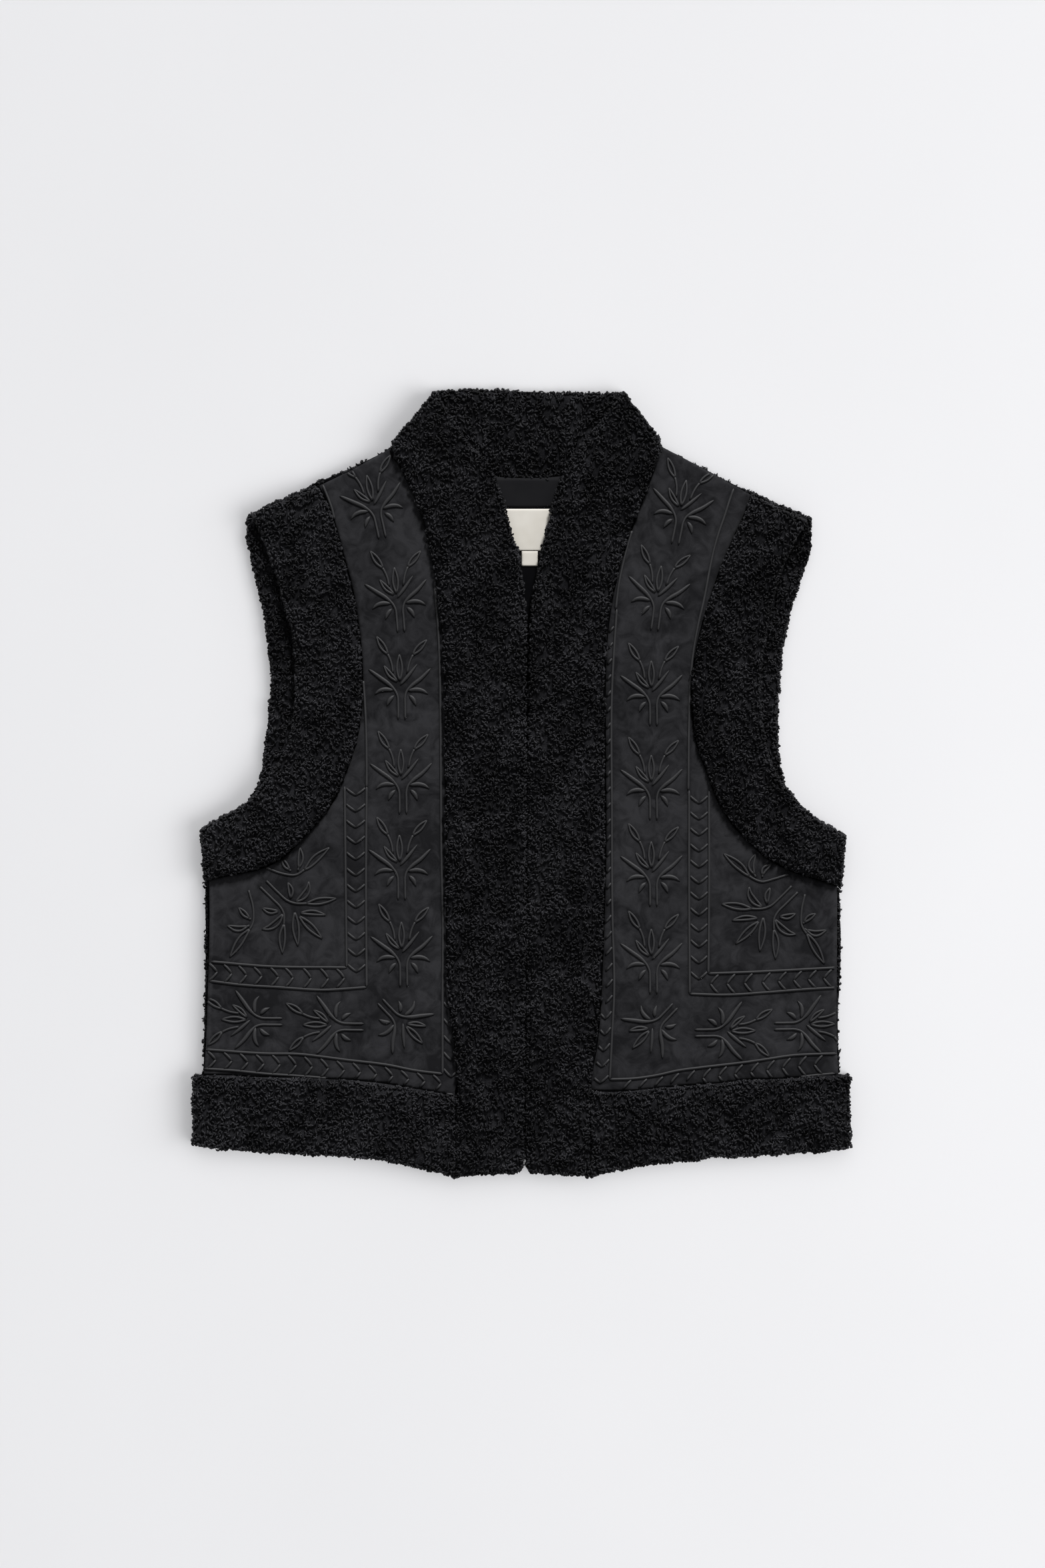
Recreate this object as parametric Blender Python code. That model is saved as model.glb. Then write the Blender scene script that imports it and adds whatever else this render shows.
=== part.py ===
"""A cropped open-front vest in suede and curly pile cloth, laid flat on its back.

Units: the tables and sizes are millimetres, the meshes are metres.
Frame: +X to the right and +Y to the collar as seen from above, +Z up from the
surface that the vest lies on. The origin is on that surface, under the middle of
the vest's length and width.

The vest is two layers. The back lies on the surface: its body, hem band, armhole
bands and collar, with the facing, the lining and the labels on its inner side. The
two fronts lie on the back: suede panels edged by bands of pile.
"""

from collections import namedtuple

import bmesh
import bpy
import numpy as np

MM = 0.001

# Heights of the layers
SURFACE = 0.0
SEAM_GAP = 0.3
CURVE_EASE = 0.25
PILE_WALL = 8.5
BODY_WALL = 7.2
LINING_WALL = 1.0
SUEDE_WALL = 3.0
LABEL_WALL = 0.6
BACK_TOP = SURFACE + PILE_WALL
LINING_BASE = SURFACE + BODY_WALL + SEAM_GAP
FRONT_BASE = BACK_TOP + SEAM_GAP
LABEL_BASE = BACK_TOP + SEAM_GAP

# The pile's round edges
PILE_ROUND = 5.0
FREE_DROP = 3.2
FREE_RISE = 2.6
SEAM_DROP = 3.8

# Neck of the back
NECK_CENTRE = 3.5
NECK_DEPTH = 21.6
NECK_LOW = 229.6
NECK_HALF = 102.5
FACING_LOW = 206.0
FACING_RISE = 31.0
FACING_HALF = 127.0
FACING_LEFT = -119.0
FACING_RIGHT = 122.0
FACING_STEPS = 12

# Labels on the lining
LABEL_WIDTH = 50.0
LABEL_CENTRE = 4.5
LABEL_BOTTOM = 174.0
LABEL_TOP = 205.4
LABEL_MARGIN = 20.0
TAB_WIDTH = 12.0
TAB_CENTRE = 6.2
TAB_BOTTOM = 162.5
TAB_TOP = 173.6

# One cross-section of a front band, from its seam to its free edge
BandRow = namedtuple("BandRow", "seam_x seam_y free_x free_y")
FRONT_BAND = {
    "l": (
        BandRow(-49.3, -296.0, 1.6, -293.6),
        BandRow(-49.3, -236.0, 2.3, -236.0),
        BandRow(-52.3, -193.0, 2.8, -193.0),
        BandRow(-57.2, -150.0, 3.2, -150.0),
        BandRow(-58.0, -60.0, 3.6, -60.0),
        BandRow(-58.8, 30.0, 3.9, 30.0),
        BandRow(-59.3, 82.0, 4.1, 82.0),
        BandRow(-61.8, 122.0, 4.5, 122.0),
        BandRow(-67.7, 162.5, 0.8, 161.0),
        BandRow(-76.2, 200.0, -9.8, 199.0),
        BandRow(-89.7, 232.0, -17.6, 230.5),
        BandRow(-98.9, 250.5, -33.5, 247.0),
        BandRow(-92.5, 262.0, -45.5, 263.0),
        BandRow(-79.5, 275.5, -54.0, 276.5),
        BandRow(-70.8, 287.0, -59.5, 287.0),
        BandRow(-66.6, 293.4, -62.8, 293.0),
    ),
    "r": (
        BandRow(51.3, -296.0, 3.4, -293.6),
        BandRow(51.5, -232.0, 3.0, -236.0),
        BandRow(57.0, -193.0, 3.5, -193.0),
        BandRow(60.0, -150.0, 3.9, -150.0),
        BandRow(63.0, -60.0, 4.4, -60.0),
        BandRow(62.8, 30.0, 4.7, 30.0),
        BandRow(62.9, 82.0, 4.9, 82.0),
        BandRow(65.7, 122.0, 5.9, 122.0),
        BandRow(73.7, 162.5, 11.8, 161.0),
        BandRow(86.6, 200.0, 20.5, 199.0),
        BandRow(98.6, 232.0, 28.8, 230.5),
        BandRow(105.6, 252.0, 38.0, 248.5),
        BandRow(101.5, 262.5, 51.8, 262.5),
        BandRow(89.8, 275.8, 62.6, 276.0),
        BandRow(81.8, 287.0, 71.5, 287.4),
        BandRow(78.4, 292.6, 75.6, 292.4),
    ),
}

# The rows of a front band at the hem band's top and at the neck
HEM_ROW = 1
NECK_ROW = 11

# One cross-section of an armhole band, from its seam to the front's and the back's edge
ArmRow = namedtuple("ArmRow", "seam_x seam_y front_x front_y back_x back_y")
ARMHOLE = {
    "l": (
        ArmRow(-152.2, 222.5, -202.6, 200.5, -206.6, 200.6),
        ArmRow(-142.3, 201.5, -193.6, 181.0, -206.9, 182.0),
        ArmRow(-133.7, 171.0, -186.0, 162.0, -202.2, 162.0),
        ArmRow(-126.2, 142.0, -178.6, 135.0, -196.0, 134.0),
        ArmRow(-120.6, 104.0, -171.2, 103.0, -190.8, 103.0),
        ArmRow(-119.2, 70.0, -169.8, 76.0, -188.5, 76.0),
        ArmRow(-121.6, 41.5, -172.3, 47.0, -190.7, 47.0),
        ArmRow(-129.0, 14.5, -177.8, 22.0, -193.8, 22.0),
        ArmRow(-142.3, -16.0, -190.0, 6.0, -196.8, 5.0),
        ArmRow(-162.8, -40.5, -203.3, -13.0, -204.0, -12.4),
        ArmRow(-186.0, -61.5, -219.8, -23.5, -220.4, -22.8),
        ArmRow(-212.0, -68.2, -231.5, -29.5, -232.0, -28.6),
        ArmRow(-238.3, -74.0, -241.2, -36.0, -241.6, -35.0),
    ),
    "r": (
        ArmRow(172.2, 215.8, 213.6, 197.0, 217.6, 199.4),
        ArmRow(168.0, 203.0, 205.6, 181.5, 218.8, 184.0),
        ArmRow(158.5, 182.5, 196.8, 162.5, 213.9, 161.5),
        ArmRow(148.0, 157.0, 190.3, 138.5, 205.9, 138.0),
        ArmRow(136.3, 121.5, 184.3, 114.5, 199.6, 114.0),
        ArmRow(129.0, 89.0, 180.4, 86.0, 194.9, 86.0),
        ArmRow(127.8, 60.0, 179.6, 60.0, 193.9, 60.0),
        ArmRow(130.6, 32.0, 182.9, 31.0, 193.0, 31.0),
        ArmRow(138.5, 9.5, 189.4, 11.0, 195.6, 10.0),
        ArmRow(150.5, -20.0, 200.5, -6.0, 201.0, -5.4),
        ArmRow(168.8, -43.0, 213.0, -21.0, 213.6, -20.2),
        ArmRow(195.0, -63.5, 229.5, -32.0, 230.0, -31.2),
        ArmRow(240.6, -79.0, 243.6, -41.0, 244.0, -40.0),
    ),
}

# One cross-section of a front hem band, from the side seam to the front band
HemRow = namedtuple("HemRow", "x top bottom")
FRONT_HEM = {
    "l": (
        HemRow(-246.8, -220.5, -272.5),
        HemRow(-230.0, -219.8, -275.5),
        HemRow(-200.0, -221.0, -277.0),
        HemRow(-166.0, -222.0, -279.3),
        HemRow(-132.0, -223.5, -281.0),
        HemRow(-106.0, -225.7, -284.3),
        HemRow(-88.0, -228.8, -287.5),
        HemRow(-64.0, -232.6, -293.0),
        HemRow(-50.0, -236.2, -296.2),
    ),
    "r": (
        HemRow(247.0, -220.5, -273.5),
        HemRow(230.0, -219.8, -277.5),
        HemRow(203.0, -222.3, -279.0),
        HemRow(169.0, -223.7, -281.0),
        HemRow(143.0, -226.4, -282.3),
        HemRow(118.0, -228.2, -285.2),
        HemRow(100.0, -229.8, -286.8),
        HemRow(74.0, -232.4, -291.0),
        HemRow(52.4, -231.9, -296.2),
    ),
}
BACK_HEM = (
    HemRow(-246.4, -219.8, -272.0),
    HemRow(-180.0, -221.0, -275.5),
    HemRow(-90.0, -224.5, -279.5),
    HemRow(0.0, -226.0, -281.0),
    HemRow(90.0, -224.5, -279.5),
    HemRow(180.0, -221.0, -276.0),
    HemRow(246.6, -219.8, -273.0),
)

# Side seams: where the suede ends and where the back's pile ends
SideRow = namedtuple("SideRow", "y suede_x back_x")
SIDE = {
    "l": (
        SideRow(-220.0, -234.4, -240.0),
        SideRow(-180.0, -233.9, -239.0),
        SideRow(-125.0, -233.8, -238.2),
        SideRow(-74.0, -234.6, -238.6),
    ),
    "r": (
        SideRow(-220.0, 237.2, 240.0),
        SideRow(-180.0, 236.6, 238.6),
        SideRow(-125.0, 236.8, 240.8),
        SideRow(-79.0, 237.0, 239.4),
    ),
}

# Shoulder line of the back, from the neck to the armhole band's tip
ShoulderRow = namedtuple("ShoulderRow", "x y")
SHOULDER = {
    "l": (
        ShoulderRow(-99.0, 251.2),
        ShoulderRow(-126.0, 238.0),
        ShoulderRow(-152.0, 227.0),
        ShoulderRow(-180.0, 216.2),
        ShoulderRow(-206.6, 203.4),
    ),
    "r": (
        ShoulderRow(105.6, 251.0),
        ShoulderRow(129.0, 240.6),
        ShoulderRow(172.0, 218.6),
        ShoulderRow(190.0, 213.2),
        ShoulderRow(217.6, 202.4),
    ),
}
SHOULDER_PEEK = 1.6

# The collar's upper edge, from left to right
CollarRow = namedtuple("CollarRow", "x y")
COLLAR_TOP = (
    CollarRow(-65.6, 294.4),
    CollarRow(-30.0, 296.2),
    CollarRow(5.0, 294.4),
    CollarRow(40.0, 293.4),
    CollarRow(77.6, 293.6),
)

# Soft waves over the fronts: height, wavelength, direction in degrees, phase in degrees
Wave = namedtuple("Wave", "height length turn phase")
SUEDE_WAVES = (
    Wave(0.28, 150.0, 25.0, 40.0),
    Wave(0.20, 83.0, 110.0, 200.0),
    Wave(0.12, 61.0, 70.0, 120.0),
)
PILE_WAVES = (
    Wave(0.30, 47.0, 15.0, 10.0),
    Wave(0.26, 33.0, 100.0, 90.0),
    Wave(0.18, 27.0, 60.0, 230.0),
)

# Where a band's grid lines lie across it, as shares of its width
ACROSS_PILE = (0.0, 0.025, 0.085, 0.36, 0.64, 0.915, 0.975, 1.0)
ACROSS_SUEDE = (0.0, 0.02, 0.18, 0.34, 0.5, 0.66, 0.82, 0.98, 1.0)
ACROSS_BODY = 14
END_ROWS = (0.0, 0.0035, 0.0085)
BAND_ROWS = 26
ARM_ROWS = 18
HEM_ROWS = 10
BACK_HEM_ROWS = 13
SIDE_ROWS = 7
CORNER_ROOM = 6.0
UNDERARM = -84.0
ROW_TILT = 1.3
LINING_INSET = 4.0
COLLAR_COLUMNS = 12
COLLAR_ROWS = 7

Finish = namedtuple("Finish", "colour roughness")
PILE = Finish((0.0080, 0.0080, 0.0092), 0.95)
SUEDE = Finish((0.0205, 0.0205, 0.0222), 0.92)
LINING = Finish((0.0070, 0.0070, 0.0082), 0.6)
FACING = Finish((0.0130, 0.0130, 0.0145), 0.7)
WOVEN = Finish((0.66, 0.62, 0.55), 0.8)


def path(points, places):
    """Smooth curve through points, read at places from 0 to the last point's index.

    Each stretch is a cubic whose slope at a point is half the step between its
    neighbours, so that the curve passes through every point without a corner.
    """
    points = np.asarray(points, dtype=float)
    last = len(points) - 1
    slope = np.empty_like(points)
    slope[1:-1] = (points[2:] - points[:-2]) / 2
    slope[0] = points[1] - points[0]
    slope[-1] = points[-1] - points[-2]
    places = np.asarray(places, dtype=float)
    first = np.clip(places.astype(int), 0, last - 1)
    t = (places - first)[:, None]
    near, far = points[first], points[first + 1]
    value = near * (2 * t**3 - 3 * t**2 + 1) + far * (3 * t**2 - 2 * t**3)
    value += slope[first] * (t**3 - 2 * t**2 + t) + slope[first + 1] * (t**3 - t**2)
    return value


def even_places(points, count, ends=()):
    """Places that cut the curve into count steps of one length, closer at round ends."""
    fine = np.linspace(0, len(points) - 1, 400)
    run = path(points, fine)
    length = np.concatenate([[0.0], np.cumsum(np.linalg.norm(np.diff(run, axis=0), axis=1))])
    share = np.linspace(0, 1, count + 1)
    if len(ends):
        inner = share[1:-1]
        inner = inner[(inner > 1.6 * ends[-1]) & (inner < 1 - 1.6 * ends[-1])]
        share = np.concatenate([ends, inner, 1 - np.asarray(ends)[::-1]])
    return np.interp(share * length[-1], length, fine)


def patch(start, end, left, right, across):
    """Grid of points inside four edges.

    The rows run from left to right. Each point is the blend of the two side edges
    plus the blend of the two end edges, less the blend of the four corners.
    """
    u = np.asarray(across)[None, :, None]
    rows = np.concatenate([[0], np.cumsum(np.linalg.norm(np.diff(left, axis=0), axis=1))])
    other = np.concatenate([[0], np.cumsum(np.linalg.norm(np.diff(right, axis=0), axis=1))])
    v = ((rows / rows[-1] + other / other[-1]) / 2)[:, None, None]
    sides = (1 - u) * left[:, None] + u * right[:, None]
    ends = (1 - v) * start[None] + v * end[None]
    corners = (1 - v) * ((1 - u) * left[0] + u * right[0]) + v * ((1 - u) * left[-1] + u * right[-1])
    return sides + ends - corners


def strip(left, right, across):
    """Grid between two side edges, with straight rows."""
    u = np.asarray(across)[None, :, None]
    return (1 - u) * left[:, None] + u * right[:, None]


def round_off(distance, radius, drop):
    """How far a surface falls at a distance from an edge, on a quarter of an ellipse."""
    inside = np.clip(1 - distance / radius, 0, 1)
    return drop * (1 - np.sqrt(1 - inside**2))


def edge_distances(grid):
    """Distance of each point from the left, right, start and end edges of a grid."""
    over = np.linalg.norm(np.diff(grid, axis=1), axis=2)
    along = np.linalg.norm(np.diff(grid, axis=0), axis=2)
    from_left = np.pad(np.cumsum(over, axis=1), ((0, 0), (1, 0)))
    from_start = np.pad(np.cumsum(along, axis=0), ((1, 0), (0, 0)))
    return {
        "left": from_left,
        "right": from_left[:, -1:] - from_left,
        "start": from_start,
        "end": from_start[-1:] - from_start,
    }


def rounded(grid, edges, radius, index):
    """Fall of the top (index 0) or rise of the underside (index 1) at the named edges."""
    distances = edge_distances(grid)
    fall = np.zeros(grid.shape[:2])
    for side, amounts in edges.items():
        fall = np.maximum(fall, round_off(distances[side], radius, amounts[index]))
    return fall


def waves(grid, table):
    """Sum of the sine waves in a table, at each point of a grid."""
    total = np.zeros(grid.shape[:2])
    for wave in table:
        turn = np.radians(wave.turn)
        along = grid[..., 0] * np.cos(turn) + grid[..., 1] * np.sin(turn)
        total += wave.height * np.sin(2 * np.pi * along / wave.length + np.radians(wave.phase))
    return total


def plateau(value, low, high, soft):
    """1 between low and high, falling to 0 over a soft margin on each side."""
    step = np.clip(np.minimum(value - low, high - value) / soft + 1, 0, 1)
    return step * step * (3 - 2 * step)


def label_room(grid):
    """How far the fronts' underside lifts over the label."""
    half = LABEL_WIDTH / 2 + LABEL_MARGIN
    side = plateau(grid[..., 0], LABEL_CENTRE - half, LABEL_CENTRE + half, LABEL_MARGIN)
    height = plateau(grid[..., 1], TAB_BOTTOM - LABEL_MARGIN, LABEL_TOP + LABEL_MARGIN, LABEL_MARGIN)
    return (LABEL_WALL + SEAM_GAP + 0.1) * side * height


def material(name, finish):
    """Material of one piece."""
    made = bpy.data.materials.new(name)
    made.use_nodes = True
    shader = made.node_tree.nodes["Principled BSDF"]
    shader.inputs["Base Color"].default_value = (*finish.colour, 1)
    shader.inputs["Roughness"].default_value = finish.roughness
    shader.inputs["Metallic"].default_value = 0.0
    return made


def wall(name, grid, base, top, finish, collection):
    """Closed wall over a grid: a top, an underside and the rim that joins them."""
    rows, columns = grid.shape[:2]
    count = rows * columns
    flat = np.empty((2 * count, 3))
    flat[:count, :2] = flat[count:, :2] = grid.reshape(-1, 2)
    flat[:count, 2] = np.broadcast_to(top, (rows, columns)).ravel()
    flat[count:, 2] = np.broadcast_to(base, (rows, columns)).ravel()
    index = np.arange(count).reshape(rows, columns)
    a, b = index[:-1, :-1].ravel(), index[:-1, 1:].ravel()
    c, d = index[1:, 1:].ravel(), index[1:, :-1].ravel()
    faces = [tuple(face) for face in np.column_stack([a, b, c, d]).tolist()]
    faces += [tuple(face) for face in (np.column_stack([d, c, b, a]) + count).tolist()]
    rim = np.concatenate([index[0, :-1], index[:-1, -1], index[-1, :0:-1], index[:0:-1, 0]])
    after = np.roll(rim, -1)
    faces += [tuple(face) for face in np.column_stack([after, rim, rim + count, after + count]).tolist()]
    mesh = bpy.data.meshes.new(name)
    mesh.from_pydata((flat * MM).tolist(), [], faces)
    work = bmesh.new()
    work.from_mesh(mesh)
    bmesh.ops.recalc_face_normals(work, faces=work.faces)
    work.to_mesh(mesh)
    work.free()
    mesh.shade_smooth()
    mesh.materials.append(material(name, finish))
    piece = bpy.data.objects.new(name, mesh)
    collection.objects.link(piece)
    return piece


def band_edges(side):
    """Seam points and free-edge points of a front band, from the hem to the collar."""
    rows = FRONT_BAND[side]
    seam = [(row.seam_x, row.seam_y) for row in rows]
    free = [(row.free_x, row.free_y) for row in rows]
    return seam, free


def arm_edges(side):
    """Seam, front-edge and back-edge points of the armhole bands, from the shoulder down."""
    rows = ARMHOLE[side]
    seam = [(row.seam_x, row.seam_y) for row in rows]
    front = [(row.front_x, row.front_y) for row in rows]
    back = [(row.back_x, row.back_y) for row in rows]
    return seam, front, back


def moved(line, amount):
    """A line of points shifted sideways by an amount, to the left of its direction."""
    step = np.gradient(line, axis=0)
    step /= np.linalg.norm(step, axis=1)[:, None]
    return line + amount * np.column_stack([-step[:, 1], step[:, 0]])


def arm_places(side):
    """Where the armhole bands' rows lie, shared by every piece that meets them."""
    seam = arm_edges(side)[0]
    return even_places(seam, ARM_ROWS, ends=END_ROWS)


def outward(side):
    """-1 on the left of the vest, +1 on the right."""
    return -1.0 if side == "l" else 1.0


def pile_heights(grid, base, edges, relief):
    """Underside and top of a pile wall with round edges."""
    top = base + PILE_WALL - rounded(grid, edges, PILE_ROUND, 0) + relief
    low = base + rounded(grid, edges, PILE_ROUND, 1)
    return low, top


FREE = (FREE_DROP, FREE_RISE)
SEAM = (SEAM_DROP, 0.0)
UNDER_SEAM = (0.3, 0.0)
BODY_SIDE = (2.6, 2.4)
NECK_SEAM = (1.0, 0.0)
SUEDE_EDGE = (0.6, 0.0)
SUEDE_ROUND = 3.0


def front_band(side, collection):
    """Front band: from the hem, up the opening and over to the collar's fold."""
    seam, free = band_edges(side)
    places = even_places(free, BAND_ROWS, ends=END_ROWS)
    outer = path(seam, places)
    inner = path(free, places)
    inner[:, 0] += outward(side) * SEAM_GAP / 2
    grid = strip(outer, inner, ACROSS_PILE)
    edges = {"left": SEAM, "right": FREE, "start": FREE, "end": FREE}
    relief = waves(grid, PILE_WAVES) * plateau(grid[..., 1], -280.0, 280.0, 16.0)
    low, top = pile_heights(grid, FRONT_BASE, edges, relief)
    wall(f"front_band_{side}", grid, low + label_room(grid), top, PILE, collection)


def armhole_bands(side, collection):
    """The front's and the back's armhole band, from the shoulder to the side seam."""
    seam, front, back = arm_edges(side)
    places = arm_places(side)
    seam_line = path(seam, places)
    edges = {"left": SEAM, "right": FREE, "start": FREE, "end": FREE}
    grid = strip(seam_line, path(front, places), ACROSS_PILE)
    low, top = pile_heights(grid, FRONT_BASE, edges, waves(grid, PILE_WAVES))
    wall(f"armhole_band_front_{side}", grid, low, top, PILE, collection)
    shoulder = path([(row.x, row.y) for row in SHOULDER[side]], [2.0])[0]
    seam_line = seam_line + (shoulder - seam_line[0]) * np.clip(1 - places / 1.5, 0, 1)[:, None]
    grid = strip(seam_line, path(back, places), ACROSS_PILE)
    edges = {"left": UNDER_SEAM, "right": FREE, "start": FREE, "end": FREE}
    low, top = pile_heights(grid, SURFACE, edges, 0.0)
    wall(f"armhole_band_back_{side}", grid, low, top, PILE, collection)
    return seam_line


def front_hem(side, collection):
    """Hem band of one front, from the side seam to the front band."""
    rows = FRONT_HEM[side]
    top_points = [(row.x, row.top) for row in rows]
    low_points = [(row.x, row.bottom) for row in rows]
    places = even_places(low_points, HEM_ROWS, ends=END_ROWS)
    top_line = path(top_points, places)
    low_line = path(low_points, places)
    top_line[:, 1] -= SEAM_GAP / 2
    grid = strip(top_line, low_line, ACROSS_PILE)
    edges = {"left": SEAM, "right": FREE, "start": FREE, "end": SEAM}
    low, top = pile_heights(grid, FRONT_BASE, edges, waves(grid, PILE_WAVES))
    wall(f"hem_band_front_{side}", grid, low, top, PILE, collection)


def back_hem(collection):
    """Hem band of the back, from side seam to side seam."""
    top_points = [(row.x, row.top) for row in BACK_HEM]
    low_points = [(row.x, row.bottom) for row in BACK_HEM]
    places = even_places(low_points, BACK_HEM_ROWS, ends=END_ROWS)
    top_line = path(top_points, places)
    top_line[:, 1] -= SEAM_GAP / 2
    grid = strip(top_line, path(low_points, places), ACROSS_PILE)
    edges = {"left": UNDER_SEAM, "right": FREE, "start": FREE, "end": FREE}
    low, top = pile_heights(grid, SURFACE, edges, 0.0)
    wall("hem_band_back", grid, low, top, PILE, collection)


def side_line(side, column, count):
    """Side seam from the hem up to the armhole band, on the suede's or the back's edge."""
    points = [(getattr(row, column), row.y) for row in SIDE[side]]
    return path(points, even_places(points, count))


def corner(up, arm):
    """A side seam and an armhole seam, both cut where they meet under the arm."""
    limit = abs(up[-1, 0])
    up[-1, 1] = np.interp(-limit, -np.abs(arm[:, 0]), arm[:, 1])
    return up, arm[np.abs(arm[:, 0]) < limit - CORNER_ROOM]


def front_panel(side, collection):
    """Suede front: from the front band to the side seam and the armhole band."""
    seam, free = band_edges(side)
    arm = path(arm_edges(side)[0], arm_places(side))[::-1]
    arm = moved(arm, outward(side) * SEAM_GAP)
    up = side_line(side, "suede_x", SIDE_ROWS)
    outer = np.concatenate(corner(up, arm))
    length = np.concatenate([[0], np.cumsum(np.linalg.norm(np.diff(outer, axis=0), axis=1))])
    fine = np.linspace(HEM_ROW, NECK_ROW - 0.03, 500)
    run = path(seam, fine)
    inner_length = np.concatenate([[0], np.cumsum(np.linalg.norm(np.diff(run, axis=0), axis=1))])
    share = (length / length[-1]) ** ROW_TILT
    places = np.interp(share * inner_length[-1], inner_length, fine)
    inner = path(seam, places)
    inner[:, 0] += outward(side) * (SEAM_GAP + CURVE_EASE)
    hem_rows = FRONT_HEM[side]
    hem_points = [(row.x, row.top) for row in hem_rows]
    hem_index = np.interp(
        np.abs(inner[0, 0]) + np.asarray(ACROSS_SUEDE) * (np.abs(outer[0, 0]) - np.abs(inner[0, 0])),
        [abs(row.x) for row in hem_rows][::-1],
        np.arange(len(hem_rows))[::-1],
    )
    start = path(hem_points, hem_index)
    start[:, 1] += SEAM_GAP + CURVE_EASE
    outer[0] = start[-1]
    inner[0] = start[0]
    shoulder = [(row.x, row.y - SHOULDER_PEEK) for row in SHOULDER[side][:3]]
    end = path(shoulder, np.linspace(0, 2, len(ACROSS_SUEDE)))
    end[:, 0] += np.linspace(inner[-1, 0] - end[0, 0], outer[-1, 0] - end[-1, 0], len(end))
    end[:, 1] += np.linspace(inner[-1, 1] - end[0, 1], outer[-1, 1] - end[-1, 1], len(end))
    grid = patch(start, end, inner, outer, ACROSS_SUEDE)
    edges = dict.fromkeys(("left", "right", "start", "end"), SUEDE_EDGE)
    top = FRONT_BASE + SUEDE_WALL - rounded(grid, edges, SUEDE_ROUND, 0) + waves(grid, SUEDE_WAVES)
    wall(f"front_panel_{side}", grid, FRONT_BASE, top, SUEDE, collection)


def neck_height(x, low, rise, half):
    """Height of a neck curve: lowest at the middle and rising with the square of x."""
    return low + rise * ((x - NECK_CENTRE) / half) ** 2


def shoulder_height(x):
    """Height of the shoulder line at x."""
    rows = sorted(SHOULDER["l"] + SHOULDER["r"])
    return np.interp(x, [row.x for row in rows], [row.y for row in rows])


def back_top(x, drop):
    """Upper edge of the back body: the neck's curve between the shoulders' lines."""
    neck = neck_height(x, NECK_LOW, NECK_DEPTH, NECK_HALF)
    left, right = SHOULDER["l"][0].x, SHOULDER["r"][0].x
    inside = (x > left) & (x < right)
    return np.where(inside, neck, shoulder_height(x)) - drop


def neck_columns(left, right):
    """x of the back's grid lines on its upper edge, with one at each end of the neck."""
    parts = [
        np.linspace(left, SHOULDER["l"][0].x, 4)[:-1],
        np.linspace(SHOULDER["l"][0].x, SHOULDER["r"][0].x, ACROSS_BODY - 5)[:-1],
        np.linspace(SHOULDER["r"][0].x, right, 4),
    ]
    return np.concatenate(parts)


def back_sides(seams, inset):
    """Left and right edges of the back body or its lining, from the hem to the shoulder."""
    lines = []
    for side, seam in seams.items():
        up = side_line(side, "back_x", SIDE_ROWS)
        up[:, 0] -= outward(side) * (inset - SEAM_GAP)
        lines.append(corner(up, moved(seam[::-1], outward(side) * inset)))
    kept = min(len(arm) for up, arm in lines)
    return [np.concatenate([up, arm[-kept:]]) for up, arm in lines]


def hem_edge(left, right, across, inset):
    """Lower edge of the back body or its lining, along the hem band."""
    x = left + across * (right - left)
    hem = path([(row.x, row.top) for row in BACK_HEM], np.linspace(0, len(BACK_HEM) - 1, 60))
    return np.column_stack([x, np.interp(x, hem[:, 0], hem[:, 1]) + inset])


def back_body(seams, collection):
    """Back of the vest between its bands."""
    left, right = back_sides(seams, SEAM_GAP)
    columns = neck_columns(left[-1, 0], right[-1, 0])
    across = (columns - columns[0]) / (columns[-1] - columns[0])
    end = np.column_stack([columns, back_top(columns, SEAM_GAP / 2)])
    start = hem_edge(left[0, 0], right[0, 0], across, SEAM_GAP / 2)
    left[-1], right[-1] = end[0], end[-1]
    left[0], right[0] = start[0], start[-1]
    grid = patch(start, end, left, right, across)
    free = {"left": BODY_SIDE, "right": BODY_SIDE}
    at_side = plateau(grid[..., 1], -400.0, UNDERARM, 12.0)
    top = SURFACE + BODY_WALL - rounded(grid, free, PILE_ROUND, 0) * at_side
    low = SURFACE + rounded(grid, free, PILE_ROUND, 1) * at_side
    wall("back_body", grid, low, top, PILE, collection)


def facing_low(x, drop):
    """Lower edge of the facing, which is also the lining's upper edge in the neck."""
    return neck_height(x, FACING_LOW, FACING_RISE, FACING_HALF) - drop


def facing_columns():
    """x of the grid lines that the facing and the lining share."""
    return np.linspace(FACING_LEFT, FACING_RIGHT, FACING_STEPS + 1)


def back_lining(seams, collection):
    """Lining on the back body, up to the facing and the shoulders."""
    left, right = back_sides(seams, LINING_INSET)
    left_x, right_x = left[-1, 0], right[-1, 0]
    middle = facing_columns()
    outside = [left_x, (left_x + middle[0]) / 2], [(right_x + middle[-1]) / 2, right_x]
    columns = np.concatenate([outside[0], middle, outside[1]])
    across = (columns - left_x) / (right_x - left_x)
    height = np.minimum(back_top(columns, 2.0), facing_low(columns, SEAM_GAP / 2))
    end = np.column_stack([columns, height])
    start = hem_edge(left[0, 0], right[0, 0], across, 1.2)
    left[-1], right[-1] = end[0], end[-1]
    left[0], right[0] = start[0], start[-1]
    grid = patch(start, end, left, right, across)
    grid = np.concatenate([grid[:-3:2], grid[-1:]])
    wall("back_lining", grid, LINING_BASE, LINING_BASE + LINING_WALL, LINING, collection)


def back_neck_facing(collection):
    """Facing on the back body, from shoulder to shoulder under the collar."""
    columns = facing_columns()
    low = np.column_stack([columns, facing_low(columns, -SEAM_GAP / 2)])
    high = np.column_stack([columns, np.maximum(back_top(columns, 1.0), low[:, 1] + 1.0)])
    grid = strip(low, high, (0.0, 0.5, 1.0))
    wall("back_neck_facing", grid, LINING_BASE, LINING_BASE + LINING_WALL, FACING, collection)


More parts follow.
